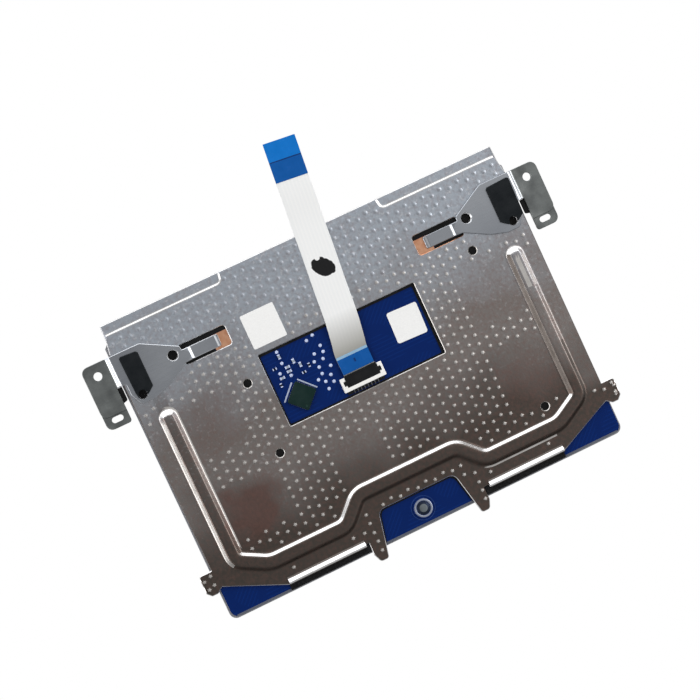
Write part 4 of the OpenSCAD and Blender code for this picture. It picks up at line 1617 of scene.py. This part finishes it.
@dataclass
class BoardFace:
    """What shows of the circuit board: lacquer, chip, small parts, ink, solder and labels."""

    face: float = 1.9
    chip_x: float = 16.8
    chip_y: float = 46.0
    chip_w: float = 6.0
    chip_turn: float = 45.0
    lands: int = 10
    land_pitch: float = 0.5
    chip_lines: tuple[tuple[Point, Point], ...] = (((21.7, 46.3), (17.8, 50.3)),
                                                   ((16.1, 50.5), (12.1, 46.3)))
    dots: list[Point] = field(default_factory=lambda: [
        (9.5, 58.7), (7.5, 59.4), (6.7, 56), (9.1, 54.6), (6.7, 54.2), (10, 52.7), (7.5, 52.5),
        (9.4, 50.9), (6.4, 50), (9.4, 49), (11, 47.9), (7.4, 47.8), (9.4, 46.7), (7.4, 45.8),
        (9.4, 44.6), (18, 59.3), (18, 56), (19.6, 53.7), (17.1, 52.1)])
    capacitors: list[Place] = field(default_factory=lambda: [
        (18, 57.9, 90), (19.5, 52.4, 0), (17.1, 54.5, 0), (17.1, 53.3, 0), (15, 55.3, 90),
        (13.7, 53.7, 90)])
    resistors: list[Place] = field(default_factory=lambda: [
        (20.6, 50.8, 90), (13.6, 51.4, 0), (11.6, 52.6, 90), (20.4, 55.4, 0)])

    def small_part(self, place: Place, height: float, scale: float) -> Shape:
        """Soldered part with two tinned ends.

        Args:
            place: Its middle across and in depth, and its turn in degrees.
            height: How far it stands off the board.
            scale: Its length in millimetres.

        Returns:
            The part, with its ends in the second coat.
        """
        x, y, turn = place
        made = Shape()
        for x0, x1, grow, coat in ((-0.26, 0.26, 0.0, Coat.FIRST), (-0.5, -0.24, 0.02, Coat.SECOND),
                                   (0.24, 0.5, 0.02, Coat.SECOND)):
            half = (0.24 + grow) * scale
            loop = turned(rectangle(x0 * scale, -half, x1 * scale, half, 0.04), turn, x, y)
            made.join(Sheet(loop, self.face - height - grow, self.face, edge=0.05).shape(coat))
        return made

    def chip(self) -> None:
        """Makes the controller chip with its soldered lands."""
        middle, half = (self.chip_x, self.chip_y), self.chip_w / 2
        loop = turned(rectangle(-half, -half, half, half, 0.15), self.chip_turn, *middle)
        body = Sheet(loop, self.face - 0.75, self.face - 0.05, edge=0.1).shape()
        mark = turned([(-half + 0.9, -half + 0.9)], self.chip_turn, *middle)[0]
        body.join(Sheet(circle(*mark, 0.28, 16), self.face - 0.765, self.face - 0.7,
                        edge=0.01).shape(Coat.THIRD))
        for quarter in range(4):
            for k in range(self.lands):
                u = -half + 0.75 + k * self.land_pitch
                loop = turned(rectangle(u - 0.12, half - 0.1, u + 0.12, half + 0.12, 0.04),
                              self.chip_turn + 90 * quarter, *middle)
                body.join(Sheet(loop, self.face - 0.12, self.face, edge=0.04).shape(Coat.SECOND))
        body.piece("touch_controller_chip", [Palette.chip, Palette.dull_tin, Palette.pin_mark],
                   Body.PAD, "chip_resin", ["controller_chip"])

    def print_of(self, loop: Sequence[Point], holes: Sequence[Sequence[Point]] = ()) -> Shape:
        """Thin print on the board.

        Args:
            loop: Its outline.
            holes: Bare places in it.

        Returns:
            The print as a closed shape.
        """
        return Sheet(loop, self.face - 0.02, self.face + 0.01, holes, edge=0.005).shape()

    def ink(self) -> None:
        """Prints the lines by the chip, the ring round the switch and the board's rim."""
        printed = Shape()
        for a, b in self.chip_lines:
            run = Vector(b) - Vector(a)
            turn = math.degrees(math.atan2(run.y, run.x))
            printed.join(self.print_of(turned(rectangle(0, -0.2, run.length, 0.2), turn, *a)))
        printed.join(self.print_of(circle(0, 5, 3.35, 48), [circle(0, 5, 3.17, 48)]), Coat.SECOND)
        printed.join(self.print_of(rectangle(-56.8, 0.53, 56.8, 1.0)), Coat.THIRD)
        printed.piece("board_ink_lines", [Palette.silk, Palette.faint_silk, Palette.bare_rim],
                      Body.PAD, "circuit_board")

    def solder(self) -> None:
        """Sets the solder dots."""
        made = Shape()
        profile = [(0.0, self.face - 0.14), (0.22, self.face - 0.13), (0.38, self.face - 0.07),
                   (0.47, self.face + 0.01)]
        for x, y in self.dots:
            made.join(turned_shape(profile, x, y, 16))
        made.piece("board_solder_dots", [Palette.solder], Body.PAD, "circuit_board")

    def labels(self) -> None:
        """Makes the two bare labels."""
        loop = turned(rectangle(-4.35, -4.35, 4.35, 4.35, 0.6), 2, -17.0, 51.6)
        Sheet(loop, self.face - 0.1, self.face - 0.01, edge=0.03).shape().piece(
            "bare_board_label", [Palette.paper], Body.PAD, "label_paper", ["board_label"])
        loop = rectangle(13.5, 62.3, 23.1, 71.9, 0.35)
        Sheet(loop, 1.1, 1.19, edge=0.03).shape().piece(
            "bare_plate_label", [Palette.paper], Body.PAD, "label_paper", ["bracket_label"])

    def tape(self) -> None:
        """Makes the black tape between base plate and board, just proud of the plate's openings,
        its black there also standing in for their shade.
        """
        loop = rounded(both_halves([
            (10.8, 9.15, 1.8), (12.75, 0.9, 0.3), (17.2, 0.9, 0.3), (17.2, 2.8, 0), (41.0, 2.8, 0),
            (57.4, 10.7, 0), (57.4, 77.9, 0), (55.4, 79.9, 0)]))
        # the tape's black inside the openings also stands in for the shade at their edges
        holes = [rectangle(-22.2, 40.45, 22.6, 59.9, 0.4), rectangle(27.0, 65.75, 32.4, 70.65, 0.3),
                 rectangle(-32.4, 65.75, -27.0, 70.65, 0.3)]
        Sheet(loop, 1.7, self.face, holes, edge=0.02).shape().piece(
            "black_board_tape", [Palette.tape], Body.PAD, "black_tape", ["board_tape"])

    def small_parts(self) -> None:
        """Makes the capacitors and the resistors round the chip."""
        capacitors, resistors = Shape(), Shape()
        for place in self.capacitors:
            capacitors.join(self.small_part(place, 0.5, 1.35))
        for place in self.resistors:
            resistors.join(self.small_part(place, 0.35, 1.15))
        capacitors.piece("capacitors", [Palette.ceramic, Palette.solder], Body.PAD,
                         "capacitor_ceramic", ["chip_capacitors"])
        resistors.piece("resistors", [Palette.resist, Palette.solder], Body.PAD,
                        "resistor_film", ["chip_resistors"])

    def build(self) -> None:
        """Dresses the board and makes the tape and all that sits on the board."""
        dress("circuit_board", Palette.board)
        self.tape()
        self.chip()
        self.small_parts()
        self.ink()
        self.solder()
        self.labels()


@dataclass
class CableSocket:
    """Flip-lock socket: housing, soldered contacts and latch."""

    half: float = 6.1
    inner: float = 4.8
    hook_x: float = 0.65
    front: float = 41.6
    wall: float = 43.2
    hook: float = 44.5
    rear: float = 45.5
    low: float = 0.7
    high: float = 1.9
    contacts: int = 8
    pin_half: float = 5.4
    pin_r: float = 0.15
    pin_at: Point = (43.56, 0.875)

    def housing(self) -> None:
        """Makes the housing with its floor on the board, dark mouth and dark contact strip."""
        half, inner, out = self.half, self.inner, self.inner + self.hook_x
        loop = rounded([(-half, self.front, 0.15), (half, self.front, 0.15),
                        (half, self.rear, 0.15), (inner, self.rear, 0.15),
                        (inner, self.hook, 0.1), (out, self.hook, 0.1),
                        (out, self.wall, 0.1), (-out, self.wall, 0.1),
                        (-out, self.hook, 0.1), (-inner, self.hook, 0.1),
                        (-inner, self.rear, 0.15), (-half, self.rear, 0.15)])
        made = Sheet(loop, self.low, self.high, edge=0.1).shape()
        made.join(block(-inner - 0.1, self.wall - 0.1, 1.66, inner + 0.1, self.rear, 1.9, 0.04))
        made.join(block(-inner, 42.6, self.low - 0.01, inner, self.wall + 0.1, self.low + 0.2,
                        0.008), Coat.SECOND)
        made.join(block(-5.4, 40.7, 1.6, 5.4, self.front + 0.05, 1.9), Coat.SECOND)
        made.piece("socket_housing", [Palette.socket, Palette.latch], Body.PAD, "socket_plastic",
                   ["connector_housing"])

    def contact_row(self) -> None:
        """Makes the soldered contacts, one to a millimetre."""
        made = Shape()
        leg = [(40.5, 1.89), (40.5, 1.75), (40.72, 1.7), (40.8, 1.56), (41.62, 1.54),
               (41.62, 1.66), (40.95, 1.68), (40.85, 1.89)]
        for k in range(self.contacts):
            x = k - (self.contacts - 1) / 2
            made.join(bar(leg, x - 0.12, x + 0.12))
        made.piece("socket_contacts", [Palette.dull_tin], Body.PAD, "tinned_metal",
                   ["connector_contacts"])

    def latch(self) -> None:
        """Makes the flap with its grip ridge and its pin."""
        flap = rounded(both_halves([(5.33, 43.3, 0.1), (5.33, 44.4, 0.3), (4.65, 44.4, 0.05),
                                    (4.65, 45.9, 0.1)]))
        made = Sheet(flap, self.low, 1.05, edge=0.08).shape()
        made.join(block(-4.4, 45.3, self.low - 0.07, 4.4, 45.6, self.low + 0.05, 0.03))
        made.join(bar(circle(*self.pin_at, self.pin_r, 16), -self.pin_half, self.pin_half))
        made.piece("socket_latch", [Palette.latch], Body.LATCH, "latch_plastic",
                   ["connector_latch"])

    def build(self) -> None:
        """Makes the housing, the contacts and the latch."""
        self.housing()
        self.contact_row()
        self.latch()


@dataclass
class RibbonCable:
    """Flat cable on its route, with a blue stiffener at each end."""

    uv_name: ClassVar[str] = "ribbon"
    half: float = 4.5
    thick: float = 0.3
    length: float = 0.0672
    end_lean: float = 0.1
    route: list[Place] = field(default_factory=lambda: [
        (0, 43.2, 1.45), (0, 47, 1.45), (0, 51, 1.45), (-0.5, 54, 1.3), (-1.1, 58, 1.05),
        (-1.6, 62, 0.95), (-2.1, 68, 0.95), (-2.7, 74, 0.95), (-3.3, 80, 0.95), (-3.8, 86, 0.95),
        (-4.2, 90, 0.8), (-4.6, 94, 0.55), (-4.9, 98, 0.4), (-5.3, 102, 0.4), (-5.7, 106, 0.4),
        (-6.1, 110, 0.4)])

    def smooth_route(self, parts: int = 4) -> list[Vector]:
        """Smooth curve through the route.

        Args:
            parts: Straight pieces from one point of the route to the next.

        Returns:
            The points of the curve.
        """
        p = [Vector(q) for q in self.route]
        p = [2 * p[0] - p[1], *p, 2 * p[-1] - p[-2]]
        found: list[Vector] = []
        for a, b, c, d in zip(p, p[1:], p[2:], p[3:]):
            for k in range(parts):
                t = k / parts
                found.append(0.5 * (2 * b + (c - a) * t + (2 * a - 5 * b + 4 * c - d) * t ** 2
                                    + (3 * b - a - 3 * c + d) * t ** 3))
        return found + [p[-2]]

    def section(self) -> list[Point]:
        """Cross-section with rounded edges.

        Returns:
            Its points as across and up.
        """
        x, z = self.half, self.thick / 2
        side = [(x, -z * 0.35), (x, z * 0.35), (x - 0.06, z * 0.8), (x - 0.16, z)]
        top = [(x - 0.16 - (2 * x - 0.32) * k / 8, z) for k in range(1, 8)]
        half = side + top
        return half + [(-px, -pz) for px, pz in half]

    def ribbon(self, path: Sequence[Vector]) -> bpy.types.Object:
        """Makes the cable and marks the place across it for its finish.

        Args:
            path: Points of its middle line.

        Returns:
            The cable.
        """
        section = self.section()
        count = len(section)
        points: list[Place] = []
        for i, here in enumerate(path):
            ahead = (path[min(i + 1, len(path) - 1)] - path[max(i - 1, 0)]).normalized()
            side = ahead.cross(Vector((0, 0, 1))).normalized()
            up = side.cross(ahead)
            points += [tuple(here + side * u + up * w) for u, w in section]
        faces = [f[::-1] for f in hull_faces(count, len(path))]
        cable = Shape().add(points, faces).piece("ribbon_cable", [Palette.cable], Body.PAD,
                                                 "cable_film", ["flex_cable"])
        layer = cable.data.uv_layers.new(name=self.uv_name)
        for loop in cable.data.loops:
            along, k = divmod(loop.vertex_index, count)
            layer.data[loop.index].uv = (section[k][0], float(along))
        return cable

    def stiffener(self, low_end: float, high_end: float, low: float, high: float,
                  edge: float = 0.03, r: float = 0.0, inset: float = 0.0) -> Shape:
        """Film across the cable.

        Args:
            low_end: Where it starts in depth.
            high_end: Where it ends in depth.
            low: Height of its underside.
            high: Height of its upper side.
            edge: Width of its chamfer.
            r: Radius of its corners.
            inset: How far it stays off the cable's edges.

        Returns:
            The film as a closed shape.
        """
        x = self.half - inset
        return Sheet(rectangle(-x, low_end, x, high_end, r), low, high, edge=edge).shape()

    def near_end(self) -> None:
        """Makes the stiffener at the socket, with a short line and a painted highlight along its
        rear edge.
        """
        made = self.stiffener(46.1, 51, 1.2, 1.3, r=0.1)
        made.join(block(-0.25, 48.2, 1.195, 0.25, 49.2, 1.21, 0.003), Coat.SECOND)
        # painted highlight along the rear edge
        made.join(self.stiffener(50.3, 51.02, 1.19, 1.3, 0.02), Coat.THIRD)
        made.piece("near_stiffener",
                   [Palette.stiffener_low, Palette.stiffener_line, Palette.stiffener_edge_highlight],
                   Body.PAD, "stiffener_film", ["cable_stiffener_near"])

    def far_end(self) -> bpy.types.Object:
        """Makes the two-tone stiffener at the loose end.

        Returns:
            The stiffener.
        """
        made = self.stiffener(-5.3, 0, 0.15, 0.25, r=0.1)
        made.join(self.stiffener(-10.9, -5.25, 0.155, 0.25, r=0.1), Coat.THIRD)
        made.join(self.stiffener(-5.5, -5.2, 0.146, 0.16, 0.003, inset=0.05), Coat.SECOND)
        lean = math.degrees(math.atan(self.end_lean))
        end = self.route[-1][:2]
        made = made.moved(lambda p: (*turned([p[:2]], lean, *end)[0], p[2]))
        return made.piece("far_stiffener",
                          [Palette.stiffener, Palette.stiffener_line, Palette.stiffener_low],
                          Body.PAD, "stiffener_film", ["cable_stiffener_far"])

    def build(self) -> None:
        """Makes the cable, both stiffeners and dresses the bare contacts."""
        path = self.smooth_route()
        cable = self.ribbon(path)
        self.near_end()
        tip = self.far_end()
        dress("cable_contacts", Palette.contact_tin)
        at(*self.route[0])
        [at(*p) for p in path]


@dataclass
class ClickSwitch:
    """Round switch in the front notch: body with a steel ring, and the dome that moves."""

    x: float = 0.0
    y: float = 5.0
    skirt_from: float = 1.15

    def build(self) -> None:
        """Makes the body and the dome."""
        body = turned_shape([(0, 1.82), (1.88, 1.82), (1.88, 1.36), (1.94, 1.3), (2.2, 1.3),
                             (2.2, 1.34), (2.62, 1.34), (2.7, 1.42), (2.7, 1.9), (0, 1.9)],
                            self.x, self.y)
        body.join(turned_shape([(1.96, 1.36), (1.96, 1.31), (2.06, 1.27), (2.4, 1.27),
                                (2.5, 1.31), (2.5, 1.36)], self.x, self.y), Coat.SECOND)
        body.piece("switch_body", [Palette.switch_body, Palette.switch_ring], Body.PAD,
                   "switch_body", ["switch_base"])
        dome = turned_shape([(0, 1.1), (0.6, 1.105), (1.1, 1.14), (1.45, 1.21), (1.5, 1.24),
                             (1.62, 1.24), (1.74, 1.25), (1.8, 1.3), (1.8, 1.55), (0, 1.55)],
                            self.x, self.y)
        for i, f in enumerate(dome.faces):
            reach = max(math.dist(dome.points[k][:2], (self.x, self.y)) for k in f)
            if reach > self.skirt_from:
                dome.paints[i] = Coat.SECOND
        dome.piece("switch_dome_disc", [Palette.dome, Palette.dome_skirt], Body.DOME,
                   "switch_metal", ["switch_dome"])


# ---------------------------------------------------------------- studio


def facing(ahead: Vector, up: Vector) -> Matrix:
    """Turn of a lamp or camera.

    Args:
        ahead: Where it looks, of length 1.
        up: About where its upper side looks.

    Returns:
        The turn.
    """
    right = ahead.cross(up).normalized()
    return Matrix((right, right.cross(ahead), -ahead)).transposed()


@dataclass
class Lamp:
    """Soft lamp that looks at the middle of the module."""

    name: str
    place: Place
    size: float
    power: float
    colour: tuple[float, float, float] = (1.0, 1.0, 1.0)
    width: float | None = None

    def build(self) -> None:
        """Adds the lamp."""
        light = bpy.data.lights.new(self.name, "AREA")
        light.shape = "RECTANGLE"
        light.size, light.size_y = self.width or self.size, self.size
        light.energy, light.color = self.power, self.colour
        made = in_scene(self.name, light)
        made.location = self.place
        turn = facing(-Vector(self.place).normalized(), Vector((0.0, 0.0, 1.0)))
        made.rotation_euler = turn.to_euler()
        made.visible_camera = False


@dataclass
class Studio:
    """Camera, lamps, white world and a pale floor that shows from above only."""

    middle: Place = (0.0, 0.0105, 0.0019)
    camera_offset: Place = (0.071, 0.032, -0.555)
    camera_up: Place = (-0.4242, 0.9056, 0.0)
    view_width: float = 0.186
    sensor: float = 36.0
    floor_half: float = 3.0
    floor_z: float = -0.0001
    fade: Point = (100.0, 360.0)
    lamps: list[Lamp] = field(default_factory=lambda: [
        Lamp("top_key_lamp", (-0.35, 0.3, 0.6), 0.5, 2.0),
        Lamp("top_fill_lamp", (0.45, -0.35, 0.5), 0.6, 1.0),
        Lamp("under_key_lamp", (-0.05, 0.56, -0.2), 0.45, 2.6, (0.98, 0.99, 1.0), 1.3),
        Lamp("under_left_lamp", (-0.62, 0.02, -0.34), 0.5, 2.45, (1.0, 0.99, 0.98)),
        Lamp("under_right_lamp", (0.62, 0.02, -0.34), 0.5, 2.15, (1.0, 0.99, 0.98))])

    def camera(self) -> None:
        """Places the camera as the photograph was taken, under the module."""
        middle = Vector(self.middle)
        place = middle + Vector(self.camera_offset)
        turn = facing((middle - place).normalized(), Vector(self.camera_up))
        lens = bpy.data.cameras.new("photo_camera")
        lens.sensor_width = self.sensor
        lens.lens = self.sensor * (middle - place).length / self.view_width
        lens.clip_start, lens.clip_end = 0.01, 20.0
        made = in_scene("photo_camera", lens)
        made.matrix_world = Matrix.Translation(place) @ turn.to_4x4()
        bpy.context.scene.camera = made

    def world(self) -> None:
        """White to the eye; in reflections bright at the sides and rear, dim below and in front."""
        world = bpy.data.worlds.new("white_room")
        world.use_nodes = True
        graph = Graph(world.node_tree)
        path = graph.node("ShaderNodeLightPath")
        seen = graph.maths("MAXIMUM", Wire(graph, path.outputs["Is Camera Ray"]),
                           Wire(graph, path.outputs["Is Transmission Ray"]))
        mirrored = Wire(graph, path.outputs["Is Glossy Ray"]) * (1 - seen)
        way = graph.node("ShaderNodeSeparateXYZ", None,
                         {0: graph.wire("ShaderNodeTexCoord", "Generated")})
        across, depth = Wire(graph, way.outputs["X"]), Wire(graph, way.outputs["Y"])
        level = Wire(graph, way.outputs["Z"]).stretched(-0.95, -0.5)
        glow = (level * (depth.stretched(-0.9, 0.2) * 0.5 - 0.08)
                + ((1 - across.stretched(-0.32, 0.02)) * 0.34 - 0.03) * (1 - level))
        shade = graph.wire("ShaderNodeBackground", 0, None,
                           {"Color": (1.0, 1.0, 1.0, 1.0),
                            "Strength": 0.4 + seen * 0.6 + mirrored * glow})
        graph.end(shade, "ShaderNodeOutputWorld")
        bpy.context.scene.world = world

    def floor_finish(self) -> bpy.types.Material:
        """Pale finish that is white far off and clear when seen from below.

        Returns:
            The material.
        """
        material = bpy.data.materials.new("pale_floor")
        material.use_nodes = True
        graph = Graph(material.node_tree)
        lit = graph.wire("ShaderNodeBsdfDiffuse", 0, None, {"Color": (0.95, 0.95, 0.95, 1.0)})
        white = graph.wire("ShaderNodeEmission", 0, None,
                           {"Color": (1.0, 1.0, 1.0, 1.0), "Strength": 1.0})
        x, y = graph.axis("X"), graph.axis("Y")
        fade = graph.maths("SQRT", x * x + y * y).stretched(*self.fade)
        pale = graph.wire("ShaderNodeMixShader", 0, None, {0: fade, 1: lit, 2: white})
        clear = graph.wire("ShaderNodeBsdfTransparent", 0)
        behind = graph.wire("ShaderNodeNewGeometry", "Backfacing")
        graph.end(graph.wire("ShaderNodeMixShader", 0, None, {0: behind, 1: pale, 2: clear}))
        return material

    def floor(self) -> None:
        """Floor under the module, which casts and reflects nothing."""
        mesh = bpy.data.meshes.new("studio_floor")
        half = self.floor_half
        corners = rectangle(-half, -half, half, half)
        mesh.from_pydata([(x, y, self.floor_z) for x, y in corners], [], [(0, 1, 2, 3)])
        made = in_scene("studio_floor", mesh)
        mesh.materials.append(self.floor_finish())
        made.visible_diffuse = made.visible_glossy = False
        made.visible_transmission = made.visible_shadow = False

    def build(self) -> None:
        """Sets up the whole studio."""
        self.camera()
        self.world()
        self.floor()
        for lamp in self.lamps:
            lamp.build()
        bpy.context.scene.view_settings.view_transform = "Standard"


def main() -> None:
    """Builds the studio and every sub-assembly in order."""
    logging.basicConfig(level=logging.INFO, format="%(name)s: %(message)s")
    Studio().build()
    RibbonCable().build()
    TouchFace().build()
    BasePlate().build()
    for side in Side:
        HingeArm(side).build()
    FoamStrips().build()
    BoardFace().build()
    CableSocket().build()
    ClickSwitch().build()


if __name__ == "__main__":
    main()
